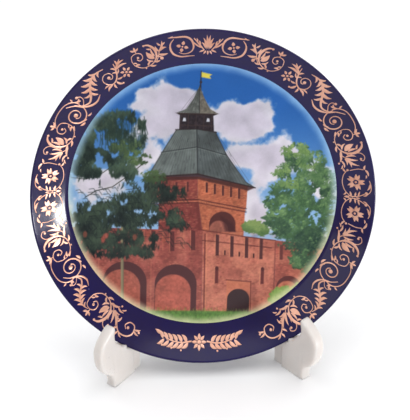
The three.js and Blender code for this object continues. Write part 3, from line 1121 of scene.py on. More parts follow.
for x0, y0 in ((-52, -18), (-44, -20), (-30, -19), (-24, -17.5), (-17, -20)):
    ellipse(x0, y0, 0.9, 1.5, (170, 84, 66), strength=0.6, soft=0.5)

summer = [
    (41, 20, 5, 4.5), (48, 17, 5, 4.5), (38, 13, 5, 3.5), (45, 9, 7, 5), (53, 8, 5, 6), (50, 1, 8, 5),
    (36, 4, 6, 3.5), (33, -2, 5, 3.5), (41, -4, 9, 5), (51, -8, 8, 6), (34, -10, 6, 5), (43, -14, 9, 5),
    (52, -17, 7, 5), (46, -22, 6, 4), (44, -28, 3.5, 4), (49, -30, 4, 4), (36, -15, 5, 3),
]
for x0, y0, x1, y1 in ((47, -6, 49, 16), (46, -30, 47, -6), (47, 0, 41, 10), (48, 2, 54, 12)):
    line([(x0, y0), (x1, y1)], 0.5, (70, 72, 56), 0.8)
foliage(summer, 4200, (44, 78, 58), (98, 142, 88), 0.75, seed=21, gaps=0.42)
foliage(summer, 9000, (58, 100, 64), (150, 186, 120), 0.42, seed=22, gaps=0.45)
foliage([(40, 22, 6, 3.5), (34, 13, 4, 3), (46, 18, 5, 4), (38, 6, 5, 3)], 1500, (110, 150, 84),
        (182, 206, 130), 0.4, seed=25, gaps=0.47)
foliage([(45, -18, 9, 7), (36, -12, 6, 4), (48, -28, 5, 6)], 1600, (36, 66, 56), (84, 124, 84), 0.5,
        seed=26, gaps=0.48)
foliage([(23, -13.2, 4.6, 2.4), (27, -15, 2.5, 2)], 620, (84, 122, 66), (156, 180, 108), 0.6, seed=23)
foliage([(40, -45, 7, 3.4), (36, -47.5, 4, 2.4), (46, -41, 3, 2)], 1300, (92, 142, 64), (186, 210, 116),
        0.6, seed=24)
print("painted the trees")

# %% [markdown]
# ## From the canvas to the plate
#
# Printing inks are duller than the painter's colours, so the reds and greens
# are first mixed with a little grey and the darks are deepened. The print
# fades towards its edge, pale blue above and cream below. Its disc
# is a square grid pressed into a circle, which keeps all its cells about the
# same size and gives a true round edge. The colours ride on the points as an
# attribute, and the finish adds the print's grain and the glaze's orange
# peel, whose pebbled look breaks up every highlight.

# %% Fade the edge and wash the light
print_contrast = 1.3
redness = np.clip((canvas[..., 0] - canvas[..., 1]) / 80, 0, 1)
greenness = np.clip((canvas[..., 1] - np.maximum(canvas[..., 0], canvas[..., 2])) / 24, 0, 1)
brush(full, 0.13 * redness, (168, 150, 146))
brush(full, 0.24 * greenness, (84, 92, 84))
canvas[:] = 255 * (canvas / 255) ** print_contrast
radius_map = np.hypot(canvas_x, canvas_y)
edge_noise = cloudy(5, 3, 7) - 0.5
fade = smooth_step(55.4, 59.7, radius_map + 1.4 * edge_noise)
up_share = smooth_step(-30, 30, canvas_y)[..., None]
fade_colour = np.array((226, 222, 178.0)) * (1 - up_share) + np.array((150, 192, 230.0)) * up_share
brush(full, 0.72 * fade, fade_colour)
brush(full, np.full_like(canvas_x, 0.06), (196, 186, 190))
print(f"the fade covers {fade.mean() * 100:.0f} % of the canvas")

# %% Press a square grid into a disc
picture_radius = 59.42
grid_count = 420
side = np.linspace(-1, 1, grid_count)
a, b = np.meshgrid(side, side)
wide = np.abs(a) > np.abs(b)
with np.errstate(divide="ignore", invalid="ignore"):
    spoke = np.where(wide, a, b)
    swing = np.where(wide, (math.pi / 4) * b / a, math.pi / 2 - (math.pi / 4) * a / b)
swing = np.nan_to_num(swing)
disc_x = picture_radius * spoke * np.cos(swing)
disc_y = picture_radius * spoke * np.sin(swing)


def canvas_colour(x, y):
    """The canvas's colour at any points, blended between its own points."""
    u = np.clip((x + canvas_half) / canvas_step, 0, canvas_count - 1.001)
    v = np.clip((y + canvas_half) / canvas_step, 0, canvas_count - 1.001)
    iu, iv = u.astype(int), v.astype(int)
    fu, fv = (u - iu)[..., None], (v - iv)[..., None]
    low = canvas[iv, iu] * (1 - fu) + canvas[iv, iu + 1] * fu
    high = canvas[iv + 1, iu] * (1 - fu) + canvas[iv + 1, iu + 1] * fu
    return low * (1 - fv) + high * fv


# The print sits a little clockwise of upright on the plate.
print_turn = math.radians(3.2)


def turn_print(x, y):
    """Points of the print, turned clockwise as it sits on the plate."""
    c, s = math.cos(print_turn), math.sin(print_turn)
    return x * c + y * s, y * c - x * s


picture_lift = 0.03
turned_x, turned_y = turn_print(disc_x, disc_y)
heights = front_height(np.hypot(disc_x, disc_y)) + picture_lift
grid_points = np.stack([turned_x, turned_y, heights], -1).reshape(-1, 3)
index = np.arange(grid_count * grid_count).reshape(grid_count, grid_count)
quads = np.stack([index[:-1, :-1], index[:-1, 1:], index[1:, 1:], index[1:, :-1]], -1).reshape(-1, 4)
print(f"disc of {len(grid_points)} points, out to {picture_radius} mm")

# %% The picture's finish
picture_glaze, tree, shader = start_material(
    "picture_glaze", {"Coat Weight": 0.06, "Coat Roughness": 0.06, "IOR": 1.5, "Specular IOR Level": 0.25}
)
paint = node(tree, "ShaderNodeAttribute", settings={"attribute_name": "paint"})
peel = place_group(
    tree,
    ripple_group,
    {
        "Wave per metre": 260.0,
        "Wave height": 0.00003,
        "Grain per metre": 1500.0,
        "Grain height": 0.000014,
    },
)
grain_level = node(tree, "ShaderNodeMapRange", {"To Min": 0.93, "To Max": 1.07})
shaded = node(tree, "ShaderNodeMix", {"Factor": 1.0}, {"data_type": "RGBA", "blend_type": "MULTIPLY"})
tree.links.new(peel.outputs["Grain"], grain_level.inputs["Value"])
tree.links.new(paint.outputs["Color"], shaded.inputs[6])
tree.links.new(grain_level.outputs["Result"], shaded.inputs[7])
tree.links.new(shaded.outputs[2], shader.inputs["Base Color"])
gloss = node(tree, "ShaderNodeMapRange", {"To Min": 0.1, "To Max": 0.22})
tree.links.new(peel.outputs["Grain"], gloss.inputs["Value"])
tree.links.new(gloss.outputs["Result"], shader.inputs["Roughness"])
tree.links.new(peel.outputs["Normal"], shader.inputs["Normal"])
print("made", picture_glaze.name)

# %% Lay the picture in the well
picture_piece = make_piece(
    "tower_picture", stand_up(grid_points), quads.tolist(), picture_glaze, sharp=None
)
srgb = np.clip(canvas_colour(disc_x, disc_y).reshape(-1, 3) / 255, 0, 1)
linear_paint = np.where(srgb <= 0.04045, srgb / 12.92, ((srgb + 0.055) / 1.055) ** 2.4)
paint_layer = picture_piece.data.color_attributes.new("paint", "FLOAT_COLOR", "POINT")
paint_layer.data.foreach_set("color", np.column_stack([linear_paint, np.ones(len(srgb))]).ravel())
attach(picture_piece, "plate")
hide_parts("picture_print")
print(f"picture: {len(quads)} faces")

# %% [markdown]
# ## Gilt scrollwork
#
# The rim's ornament is drawn with liquid gold: thin scrolls, pointed leaves
# and dots, one half of the rim mirrored onto the other. Gold sits on top of
# the glaze, so we give each stroke a real low crown of about a tenth of a
# millimetre; it then glints along one side only, as a painted line does. A
# motif is a short list of strokes in millimetres, with x along the rim,
# clockwise, and y out towards the lip.

# %% A pen that draws on the rim
gold_points = []
gold_faces = []
gold_count = 0
gold_base = 0.035
gold_height = 0.1
dome_sides = 18
crown_line = (0.25, 0.85, 1.0, 0.85, 0.25)
crown_leaf = (0.25, 1.0, 0.5, 1.0, 0.25)
rim_middle_radius = 67.3


def soft_path(corners, widths, spacing=0.3):
    """A smooth path through some corners, with its width at every point."""
    p = np.array(corners, float)
    w = np.interp(np.linspace(0, 1, len(p)), np.linspace(0, 1, len(widths)), widths)
    p = np.vstack([2 * p[0] - p[1], p, 2 * p[-1] - p[-2]])
    path, wide = [], []
    for i in range(1, len(p) - 2):
        before, here, there, after = p[i - 1 : i + 3]
        steps = max(3, int(np.hypot(*(there - here)) / spacing))
        for t in np.arange(steps) / steps:
            path.append(
                0.5 * (2 * here + (there - before) * t
                       + (2 * before - 5 * here + 4 * there - after) * t**2
                       + (3 * here - before - 3 * there + after) * t**3)
            )
            wide.append(w[i - 1] + (w[i] - w[i - 1]) * t)
    path.append(p[-2])
    wide.append(w[-1])
    return np.array(path), np.array(wide)


def ribbon(path, widths, crown):
    """Adds a closed ribbon with a crowned top to the gold, along a path on the plate."""
    global gold_count
    along = np.gradient(path, axis=0)
    along /= np.maximum(np.hypot(along[:, 0], along[:, 1]), 1e-9)[:, None]
    side = np.column_stack([-along[:, 1], along[:, 0]])
    rows = []
    for share, level in zip((-1, -0.55, 0, 0.55, 1), crown):
        spot = path + side * (widths * share / 2)[:, None]
        thick = gold_height * np.minimum(1, widths / 0.4)
        rows.append((spot, gold_base + level * thick))
    for share in (1, -1):
        rows.append((path + side * (widths * share / 2)[:, None], np.full(len(path), gold_base)))
    for spot, lift in rows:
        height = front_height(np.hypot(spot[:, 0], spot[:, 1])) + lift
        gold_points.append(np.column_stack([spot, height]))
    n, k = len(path), len(rows)
    for row in range(k):
        after = (row + 1) % k
        for i in range(n - 1):
            a, b = gold_count + row * n + i, gold_count + after * n + i
            gold_faces.append((a, a + 1, b + 1, b))
    gold_faces.append(tuple(gold_count + row * n for row in range(k)))
    gold_faces.append(tuple(gold_count + row * n + n - 1 for row in reversed(range(k))))
    gold_count += n * k


def dome(x, y, radius):
    """Adds a low round dome to the gold."""
    global gold_count
    turn = np.linspace(0, 2 * math.pi, dome_sides, endpoint=False)
    ring = np.column_stack([np.cos(turn), np.sin(turn)])
    levels = ((1.0, 0.0), (1.0, 0.25), (0.8, 0.8), (0.45, 1.15), (0.12, 1.25))
    for share, level in levels:
        spot = np.array([x, y]) + ring * radius * share
        height = front_height(np.hypot(spot[:, 0], spot[:, 1])) + gold_base + level * gold_height
        gold_points.append(np.column_stack([spot, height]))
    for row in range(len(levels) - 1):
        a = gold_count + row * dome_sides
        b = a + dome_sides
        for i in range(dome_sides):
            j = (i + 1) % dome_sides
            gold_faces.append((a + i, a + j, b + j, b + i))
    top = gold_count + dome_sides * (len(levels) - 1)
    gold_faces.append(tuple(gold_count + i for i in reversed(range(dome_sides))))
    gold_faces.append(tuple(top + i for i in range(dome_sides)))
    gold_count += dome_sides * len(levels)


class Pen:
    """Draws motifs at an angle in degrees clockwise from the top and a radius in millimetres."""

    def __init__(self, angle, radius, flip=False, scale=1.0, mirror=False):
        self.angle, self.radius = math.radians(angle), radius
        self.flip = -scale if flip else scale
        self.scale = scale
        self.mirror = -1 if mirror else 1

    def place(self, spots):
        """Points of the motif as points of the plate."""
        spots = np.atleast_2d(np.asarray(spots, float))
        x, y = spots[:, 0] * self.flip, spots[:, 1] * self.scale
        turn = self.mirror * (self.angle + x / rim_middle_radius)
        radius = self.radius + y
        px, py = turn_print(radius * np.sin(turn), radius * np.cos(turn))
        return np.column_stack([px, py])

    def stroke(self, corners, widths=(0.38,)):
        """A curved line that may swell and thin."""
        path, wide = soft_path(corners, widths)
        ribbon(self.place(path), wide * self.scale, crown_line)

    def leaf(self, x0, y0, x1, y1, width, bend=0.12):
        """A pointed leaf from one point to another, bent to one side."""
        start, end = np.array((x0, y0), float), np.array((x1, y1), float)
        t = np.linspace(0, 1, 15)
        across = np.array((-(end - start)[1], (end - start)[0]))
        path = start + np.outer(t, end - start) + np.outer(np.sin(math.pi * t) * bend, across)
        wide = width * np.maximum(np.sin(math.pi * t**0.8) ** 0.85, 0.12)
        ribbon(self.place(path), wide * self.scale, crown_leaf)

    def ball(self, x, y, radius):
        """A berry or a dot."""
        px, py = self.place((x, y))[0]
        dome(px, py, radius * self.scale)

    def spiral(self, x, y, radius, start, turns, end_radius, widths=(0.38,)):
        """A scroll that winds in, or out, round a point."""
        t = np.linspace(0, 1, max(8, int(24 * turns)))
        angle = math.radians(start) + 2 * math.pi * turns * t
        reach = radius + (end_radius - radius) * t**0.85
        corners = np.column_stack([x + reach * np.cos(angle), y + reach * np.sin(angle)])
        path, wide = soft_path(corners, widths, 0.5)
        ribbon(self.place(path), wide * self.scale, crown_line)

    def flower(self, x, y, petals, length, width, start=90.0, inner=0.5):
        """Straight petals round a point."""
        for i in range(petals):
            a = math.radians(start + 360 * i / petals)
            c, s = math.cos(a), math.sin(a)
            self.leaf(x + inner * c, y + inner * s, x + length * c, y + length * s, width, 0.0)


print(f"the pen draws strokes {gold_height} mm high")

# %% [markdown]
# ### The motifs
#
# Each motif is a handful of strokes that grow from one another: a scroll
# curls back on itself and ends in a ball, and leaves fill the corners it
# leaves. Look at a real border and you see the same habit, so no single
# motif has to be clever.

# %% Motifs at the top


def palmette(pen):
    """A fan of leaves at the very top."""
    for s in (-1, 1):
        pen.leaf(s * 0.5, -1.6, s * 0.7, 4.9, 1.1, 0.04 * s)
        pen.leaf(s * 0.9, -0.9, s * 2.1, 3.6, 1.0, 0.1 * s)
        pen.leaf(s * 1.0, -1.3, s * 2.7, 1.6, 0.9, 0.1 * s)
        pen.stroke([(s * 1.6, -1.9), (s * 3.4, 0.2), (s * 5.8, 3.6)], (0.35, 0.8, 0.35))
        pen.leaf(s * 2.8, -1.0, s * 6.6, 2.4, 0.7, -0.06 * s)
        pen.leaf(s * 3.1, 0.4, s * 3.7, 2.5, 0.7, 0)
        pen.leaf(s * 4.2, 1.8, s * 4.7, 3.6, 0.6, 0)
        pen.leaf(s * 0.8, -2.2, s * 1.9, -3.9, 0.8, 0)
        pen.leaf(s * 1.4, -1.9, s * 3.9, -2.9, 0.8, 0)
    pen.leaf(0, -2.2, 0, -4.2, 0.8, 0)


def roundel(pen):
    """Two hooked scrolls round a small flower."""
    pen.stroke([(5.1, 5.2), (1.9, 4.8), (-1.9, 4.4), (-4, 2.7), (-4.7, 0), (-4, -2), (-2.3, -3),
                (0, -3.1), (1.8, -2.2)], (0.3, 0.7, 1.0, 0.9, 0.6, 0.45, 0.4, 0.3))
    pen.stroke([(3.0, 4.2), (4.7, 2.2), (5.1, -0.3), (4.1, -2.7), (1.4, -4.2), (-1.9, -4.4), (-4.9, -4.4)],
               (0.3, 0.6, 0.9, 0.9, 0.7, 0.5, 0.3))
    pen.leaf(4.9, 5.1, 3.0, 5.7, 0.6)
    pen.flower(0, 0.2, 4, 2.6, 1.45, start=20, inner=0.75)
    pen.ball(0, 0.2, 0.42)


def sprig(pen):
    """A few leaves between two scrolls."""
    pen.leaf(0.6, 0.6, -1.4, 4.8, 1.0)
    pen.leaf(-0.8, 3.0, -2.5, 3.9, 0.8)
    pen.leaf(-0.5, 2.8, 0.7, 4.5, 0.8, -0.1)
    pen.leaf(0.9, 0.3, -2.6, 1.4, 1.2, -0.14)
    pen.leaf(1.4, -0.8, -2.7, -1.5, 1.1, 0.12)
    pen.leaf(0.9, 0.4, 1.7, 3.2, 0.9, -0.1)
    pen.ball(0.5, -3.0, 0.75)
    pen.stroke([(0.6, 1.0), (1.3, -1.0), (2.3, -2.6), (3.6, -4.0)], (0.4,))
    pen.leaf(1.6, -1.6, 0.2, -2.4, 0.6)


print("drawn so far: palmette, roundel, sprig")

# %% Scrolls with buds and berries


def bud_scroll(pen):
    """A large scroll that ends in a fat bud."""
    pen.stroke([(1.6, 5.4), (3.9, 4.6), (5.7, 2.2), (5.9, -0.6), (4.7, -3.0), (2, -4.6), (-2, -4.6),
                (-4.8, -2.4), (-5.4, 0.3)], (0.35, 0.9, 1.25, 0.95, 0.6, 0.45, 0.36, 0.36, 0.36))
    pen.stroke([(-5.4, 0.3), (-4.5, 2.5), (-2.2, 3.1), (-0.3, 1.9), (-0.4, -0.1), (-2.0, -0.8),
                (-3.0, 0.3)], (0.36, 0.36, 0.4, 0.42, 0.42, 0.4, 0.4))
    pen.ball(-2.2, 0.9, 0.55)
    pen.ball(2.0, 5.1, 0.5)
    pen.leaf(4.5, -2.2, 2.0, 1.9, 2.3, 0.1)
    pen.leaf(5.0, -1.2, 4.3, 2.7, 0.95, 0.1)
    pen.leaf(3.6, -3.2, 1.0, -1.0, 0.9, 0.2)
    pen.leaf(4.6, 2.6, 2.5, 3.5, 0.8)
    pen.leaf(-2.2, 4.4, -3.9, 5.6, 0.95)
    pen.leaf(-2.1, 4.4, -1.9, 6.2, 0.95, 0)
    pen.leaf(-2.0, 4.4, -0.4, 5.3, 0.85, -0.12)
    pen.ball(-2.1, 4.3, 0.45)
    pen.stroke([(-2.1, 4.4), (-2.0, 3.2)], (0.4,))
    pen.leaf(-4.9, -2.2, -2.6, -2.7, 0.9, 0.12)
    pen.leaf(-5.3, -0.6, -3.6, -1.8, 0.6)
    pen.leaf(0.4, -4.6, 2.4, -2.9, 0.9)
    pen.leaf(1.2, -4.7, 4.4, -5.5, 0.9, -0.12)
    pen.leaf(3.8, -3.7, 6.9, -3.8, 0.9, -0.1)
    pen.leaf(5.2, -2.2, 7.0, -1.4, 0.7)
    pen.ball(-0.9, -5.3, 0.35)


def rosette_spray(pen):
    """A small flower under a spray of leaves."""
    pen.flower(0, 0, 6, 2.7, 1.1, inner=0.9)
    pen.ball(0, 0, 0.55)
    pen.stroke([(4.4, 0.4), (3.6, 2.6), (2.0, 4.6), (-0.6, 6.8)], (0.35, 0.6, 0.8, 0.3))
    pen.leaf(2.4, 4.2, -2.0, 5.6, 1.0, -0.12)
    pen.leaf(2.9, 3.4, -2.4, 3.5, 1.0, -0.12)
    pen.leaf(1.6, 5.2, 1.4, 7.4, 0.8)
    pen.leaf(3.2, 3.3, 4.8, 5.2, 0.8)
    pen.leaf(3.8, 2.2, 5.4, 3.0, 0.6)


def small_ball_scroll(pen):
    """A scroll that curls round a berry."""
    pen.stroke([(-4.8, 4.6), (-4.4, 2.4), (-3.4, -0.2), (-1.6, -2.3), (0.8, -2.9), (2.8, -1.4),
                (3.0, 1.0), (1.3, 2.6), (-0.8, 2.2), (-1.6, 0.5), (-0.6, -0.7), (0.4, -0.4)],
               (0.36, 0.5, 0.7, 0.6, 0.4, 0.36, 0.36, 0.4, 0.4, 0.42))
    pen.ball(0.3, 0.4, 0.7)
    pen.leaf(-3.6, -0.2, -5.4, 1.6, 0.7)
    pen.leaf(-2.2, -2.2, -4.9, -2.5, 0.8)
    pen.leaf(-1.2, -2.8, -3.6, -5.4, 1.0, 0.2)
    pen.ball(-3.3, -5.2, 0.45)
    pen.leaf(0.2, -3.2, 0.4, -5.6, 0.9, 0.14)
    pen.leaf(1.0, -3.2, 4.6, -4.4, 1.0, 0.14)
    pen.leaf(2.2, -2.4, 5.0, -2.4, 0.7, 0.1)


print("drawn so far: the bud scroll, the rosette spray and the small berry scroll too")

# %% The long leaf


def acanthus(pen):
    """A long wave with leaves on both sides."""
    pen.stroke([(-9.5, 4.4), (-6, 4.9), (-3, 4.0), (0, 1.5), (2.4, -1.2), (5, -2.5), (8, -1.0), (9.6, 1.6),
                (12, 4.2)], (0.35, 0.7, 1.0, 1.1, 1.0, 0.8, 0.6, 0.5, 0.36))
    pen.leaf(-6.2, 4.9, -3.8, 6.9, 1.0, -0.18)
    upper_leaves = [
        (-4.2, 4.6, -0.9, 6.4, 1.4), (-2.2, 3.5, 1.5, 5.1, 1.5), (-0.4, 1.9, 3.5, 3.2, 1.4),
        (1.4, -0.1, 4.6, 0.8, 1.0),
    ]
    lower_leaves = [
        (-7.6, 4.7, -6.0, 2.6, 0.9), (-5.4, 4.7, -4.3, 1.7, 1.2), (-3.2, 3.9, -3.3, 0.4, 1.3),
        (-1.0, 2.3, -1.9, -1.2, 1.3), (0.9, 0.2, -0.6, -2.7, 1.1),
    ]
    for leaves, bend in ((upper_leaves, -0.2), (lower_leaves, 0.2)):
        for x0, y0, x1, y1, width in leaves:
            pen.leaf(x0, y0, x1, y1, width, bend)
    pen.stroke([(-0.9, -3.4), (2.2, -4.6), (5.4, -4.0), (8.0, -1.8), (9.4, 1.0)], (0.3, 0.8, 1.0, 0.6, 0.3))
    pen.stroke([(7.4, -1.2), (5.4, 0.4), (5.1, 2.2), (6.2, 3.2)], (0.36,))
    pen.leaf(6.2, 1.0, 8.2, 2.8, 0.8, -0.1)
    pen.ball(6.3, 3.2, 0.6)


print("drawn so far: the acanthus too")

# %% Large scroll and lily


def large_ball_scroll(pen):
    """A wide scroll with a large berry in its middle."""
    pen.spiral(0, -0.8, 5.1, 158, 1.5, 1.2, (0.4, 0.62, 0.5, 0.4, 0.4))
    pen.ball(0.0, -0.7, 0.9)
    pen.stroke([(-5.2, 1.0), (-4.4, 3.6), (-2, 5.6), (1.5, 6.2), (5, 5.9), (7.6, 4.4)], (0.5, 0.4, 0.36))
    pen.leaf(-5.0, 2.2, -7.2, 2.9, 0.8)
    pen.leaf(-4.2, 3.9, -4.8, 5.6, 0.7)
    pen.leaf(0.8, -5.7, 3.4, -4.6, 1.0, -0.1)
    pen.leaf(-2.4, -5.0, -4.8, -5.4, 0.8)
    pen.leaf(-1.0, -5.4, 1.4, -3.9, 0.8, -0.12)
    pen.leaf(4.6, -2.4, 6.6, -3.8, 0.9)


def lily(pen):
    """A lily with its leaf and tendril."""
    pen.leaf(-1.7, -2.3, 2.7, 2.6, 1.1, -0.14)
    pen.leaf(-1.7, -2.3, 0.2, 2.6, 0.95, -0.1)
    pen.leaf(-1.9, -2.2, -1.5, 2.2, 0.85)
    pen.leaf(-1.5, -2.5, 3.2, -0.6, 1.05, 0.12)
    pen.leaf(-1.2, -2.7, 2.2, -2.2, 0.7, 0.12)
    pen.stroke([(-1.7, -2.4), (-2.4, -3.2), (-3.8, -3.9)], (0.4,))
    pen.stroke([(-2.2, -0.8), (-3.0, 1.6), (-2.8, 4.0), (-1.2, 5.3), (0.5, 4.6), (0.3, 3.4)], (0.36,))
    pen.ball(-0.3, 3.7, 0.5)
    pen.leaf(-4.2, -4.0, 0.4, -4.9, 0.95, 0.1)
    pen.leaf(-0.6, -4.4, 3.4, -3.5, 0.8, 0.12)
    pen.leaf(1.8, -4.1, 3.8, -5.2, 0.6)
    pen.ball(0.9, -5.4, 0.42)


print("drawn so far: the large berry scroll and the lily too")

# %% Medallion and knot


def medallion(pen):
    """A flower of five split petals in an open ring."""
    for i in range(5):
        for side in (-11, 11):
            a = math.radians(90 + 72 * i + side)
            c, s = math.cos(a), math.sin(a)
            pen.leaf(1.0 * c, 1.0 * s, 3.7 * c, 3.7 * s, 1.2, 0.0)
        a = math.radians(126 + 72 * i)
        pen.leaf(0.9 * math.cos(a), 0.9 * math.sin(a), 2.3 * math.cos(a), 2.3 * math.sin(a), 0.4, 0.0)
    pen.ball(0, 0, 0.5)
    pen.stroke([(-5.5, 3.6), (-5.9, 1.3), (-5.4, -1.9)], (0.36,))
    pen.stroke([(-5.2, -3.2), (-3.2, -4.7), (0.3, -5.4), (4.0, -4.6), (6.2, -2.8), (7.0, -1.2)], (0.36,))
    pen.leaf(-5.5, 4.2, -2.6, 5.2, 0.9)
    pen.leaf(-5.4, 3.9, -7.4, 4.7, 0.8)
    pen.leaf(-3.2, 4.4, -1.6, 4.0, 0.6)
    pen.leaf(0.6, 5.5, 3.4, 4.3, 0.8)
    pen.stroke([(5.4, 4.2), (3.8, 5.6), (1.6, 5.9), (-0.8, 5.4)], (0.36,))
    pen.leaf(5.2, 4.4, 5.9, 2.6, 0.6)
    pen.leaf(4.9, -4.0, 6.4, -5.2, 0.7)
    pen.leaf(-4.9, -3.6, -6.9, -4.4, 0.8)
    pen.ball(-5.6, -2.7, 0.5)


def knot(pen):
    """The tie between the two medallions."""
    for s in (-1, 1):
        pen.stroke([(s * 2.4, 4.4), (s * 1.3, 2.6), (s * 0.5, 0.4), (s * 0.5, -2.4)], (0.4,))
        pen.ball(s * 2.5, 4.7, 0.6)
        pen.leaf(s * 0.8, 1.4, s * 3.2, 2.2, 0.7, 0)
        pen.leaf(s * 0.6, 0.2, s * 2.6, 0.6, 0.8, 0)
        pen.leaf(s * 0.6, -1.2, s * 2.8, -1.8, 0.8, 0)
    pen.leaf(0, -2.0, 0, -4.2, 1.0, 0)
    pen.leaf(0, 0.6, 0, 2.4, 0.6, 0)


print("drawn so far: the medallion and the knot too")

# %% The foot of the border


def end_curl(pen):
    """The last curl, where the border stops."""
    pen.stroke([(-6.6, -1.6), (-4.9, 1.8), (-2.6, 3.8), (1, 3.7), (3, 1.6), (2.5, -1), (0, -1.6),
                (-1.6, 0), (-0.6, 1.4)], (0.4, 0.6, 0.5, 0.36))
    pen.ball(0.1, 0.6, 0.6)
    pen.leaf(-5.6, 0.6, -4.6, -2.0, 0.8)
    pen.leaf(-4.4, 2.4, -6.0, 4.2, 0.8)
    pen.leaf(-3.2, 3.6, -4.0, 5.8, 0.8)
    pen.leaf(-3.0, 3.6, -0.8, 5.2, 0.7)
    pen.leaf(3.0, 0.6, 5.9, 1.8, 0.8)
    pen.leaf(3.0, 0.2, 5.9, -0.6, 0.8)
    pen.ball(5.4, 0.6, 0.5)


def laurel(pen):
    """A bold twig of laurel, along the rim away from the middle at the bottom."""
    pen.stroke([(0, 0), (-5, 0.9), (-10, 0.5), (-14.5, -1.2)], (0.7, 0.6, 0.5, 0.4))
    for i in range(6):
        x0 = -1.6 - i * 2.2
        y0 = 0.3 + 0.6 * math.sin(math.pi * (i + 1) / 7)
        pen.leaf(x0, y0, x0 - 2.7, y0 + 2.5, 1.5, -0.12)
        pen.leaf(x0 - 0.6, y0, x0 - 3.2, y0 - 2.7, 1.5, 0.12)
    pen.leaf(-14.2, -1.1, -17.6, -2.2, 1.4, 0)
    for i in range(3):
        pen.ball(-4.4 - i * 4.3, 3.8 - 0.4 * i, 0.42)


def centre_flower(pen):
    """The flower between the two twigs of laurel."""
    pen.flower(0, 0, 8, 3.4, 1.3, start=90, inner=0.9)
    pen.ball(0, 0, 0.85)


print("all twelve motifs are ready, with the laurel and its flower")

# %% Set the motifs round the rim
# Each row is a motif, its angle from the top, its radius, whether it is flipped, and its scale.
border = [
    (roundel, 9.2, 67.5, False, 1.0), (sprig, 17.0, 67.5, False, 1.0),
    (bud_scroll, 23.7, 67.5, True, 0.95), (rosette_spray, 31.8, 65.0, False, 1.0),
    (small_ball_scroll, 38.0, 66.8, False, 1.0), (acanthus, 45.8, 67.5, False, 1.0),
    (large_ball_scroll, 56.9, 67.0, False, 1.0), (bud_scroll, 65.5, 67.5, False, 1.0),
    (lily, 73.3, 67.0, False, 1.0), (medallion, 81.8, 67.2, False, 1.0),
    (knot, 87.9, 66.5, False, 1.0), (medallion, 94.0, 67.2, True, 1.0),
    (lily, 102.5, 67.0, True, 1.0), (bud_scroll, 110.3, 67.5, True, 1.0),
    (large_ball_scroll, 118.9, 67.0, True, 1.0), (acanthus, 128.6, 67.5, True, 0.8),
    (bud_scroll, 137.5, 67.5, False, 1.0), (lily, 144.8, 67.5, False, 1.0),
    (end_curl, 151.6, 67.5, False, 1.0),
]
palmette(Pen(0, 67.5))
for mirror in (False, True):
    for motif, angle, radius, flip, scale in border:
        motif(Pen(angle, radius, flip, scale, mirror))
    laurel(Pen(177.0, 66.6, False, 1.0, mirror))
centre_flower(Pen(180, 66.8))

gold_piece = make_piece(
    "gilt_scrollwork", stand_up(np.vstack(gold_points)), gold_faces, gilding, sharp=math.radians(60)
)
face_outwards(gold_piece)
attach(gold_piece, "plate")
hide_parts("gold_ornament")
print(f"gilt scrollwork: {len(gold_faces)} faces")

# %% [markdown]
# ## The folding stand
#
# Each leaf of the stand is one moulding in a milky plastic, and a moulding
# has no truly sharp edge: the tool's corners are rounded so the part comes
# out, and the plastic shrinks as it cools. We copy the plain solid of each
# leaf, cover it with an even skin of small faces and let the skin relax. The
# relaxing is strongest in the hook that holds the plate, and almost nothing
# where the leaf meets the plate, the pin or the table, so the fit stays true.

# %% The stand's own coordinates
pin_low, pin_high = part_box("hinge_pin")
hinge_y = (pin_low.y + pin_high.y) / 2 / MM
leaf_angle = math.radians(38.5)
knuckle_radius = 3.6


def leaf_place(points, side):
    """Points in metres as (along the leaf, out from its inner face, height) in millimetres."""
    p = np.asarray(points, float) / MM
    x = p[:, 0] * side
    y = p[:, 1] - hinge_y
    along = x * math.sin(leaf_angle) - y * math.cos(leaf_angle)
    out = x * math.cos(leaf_angle) + y * math.sin(leaf_angle)
    return np.column_stack([along, out, p[:, 2]])


print(f"the stand's leaves turn about y {hinge_y:.2f} mm")

# %% [markdown]
# ### An even skin
#
# Rounding the plain solid's edges one by one would trip over its small faces.
# A voxel remesh covers it with faces of one size, as if wrapped in film, and
# relaxing then rounds every edge alike. A third of a millimetre keeps the
# hook's tip crisp without making the mesh heavy.

# %% Cover a leaf with an even skin


def even_skin(node_object, name, cell):
    """A new mesh over a CAD node, in even faces of about one cell."""
    copy = node_object.copy()
    copy.data = node_object.data.copy()
    copy.parent = None
    bpy.context.scene.collection.objects.link(copy)
    weld = copy.modifiers.new("weld", "WELD")
    weld.merge_threshold = 1e-6
    remesh = copy.modifiers.new("skin", "REMESH")
    remesh.mode = "VOXEL"
    remesh.voxel_size = cell * MM
    graph = bpy.context.evaluated_depsgraph_get()
    mesh = bpy.data.meshes.new_from_object(copy.evaluated_get(graph))
    mesh.name = name
    old = copy.data
    bpy.data.objects.remove(copy)
    bpy.data.meshes.remove(old)
    return mesh


def mesh_points(mesh):
    """All the points of a mesh, one row each."""
    flat = np.zeros(len(mesh.vertices) * 3)
    mesh.vertices.foreach_get("co", flat)
    return flat.reshape(-1, 3)


def relax(points, edges, weights, steps):
    """Moves each point towards the middle of its neighbours, as much as its weight says."""
    count = len(points)
    ends = np.concatenate([edges[:, 0], edges[:, 1]])
    others = np.concatenate([edges[:, 1], edges[:, 0]])
    degree = np.maximum(np.bincount(ends, minlength=count), 1)
    for _ in range(steps):
        middle = np.column_stack(
            [np.bincount(ends, points[others, k], minlength=count) / degree for k in range(3)]
        )
        points = points + 0.6 * weights[:, None] * (middle - points)
    return points


print("the skin and the relaxing are ready")

# %% Mould both leaves
skin_cell = 0.36
hook_start = 54.0
web_inner_face = 0.8
lip_thickness = 3.4
relax_steps = 42
mark_radius = 2.2
mark_depth = 0.14
mark_spots = ((20, 12), (20, 34), (44, 12), (38, 58), (50, 30))
crease_along = 67.0
crease_depth = 0.16


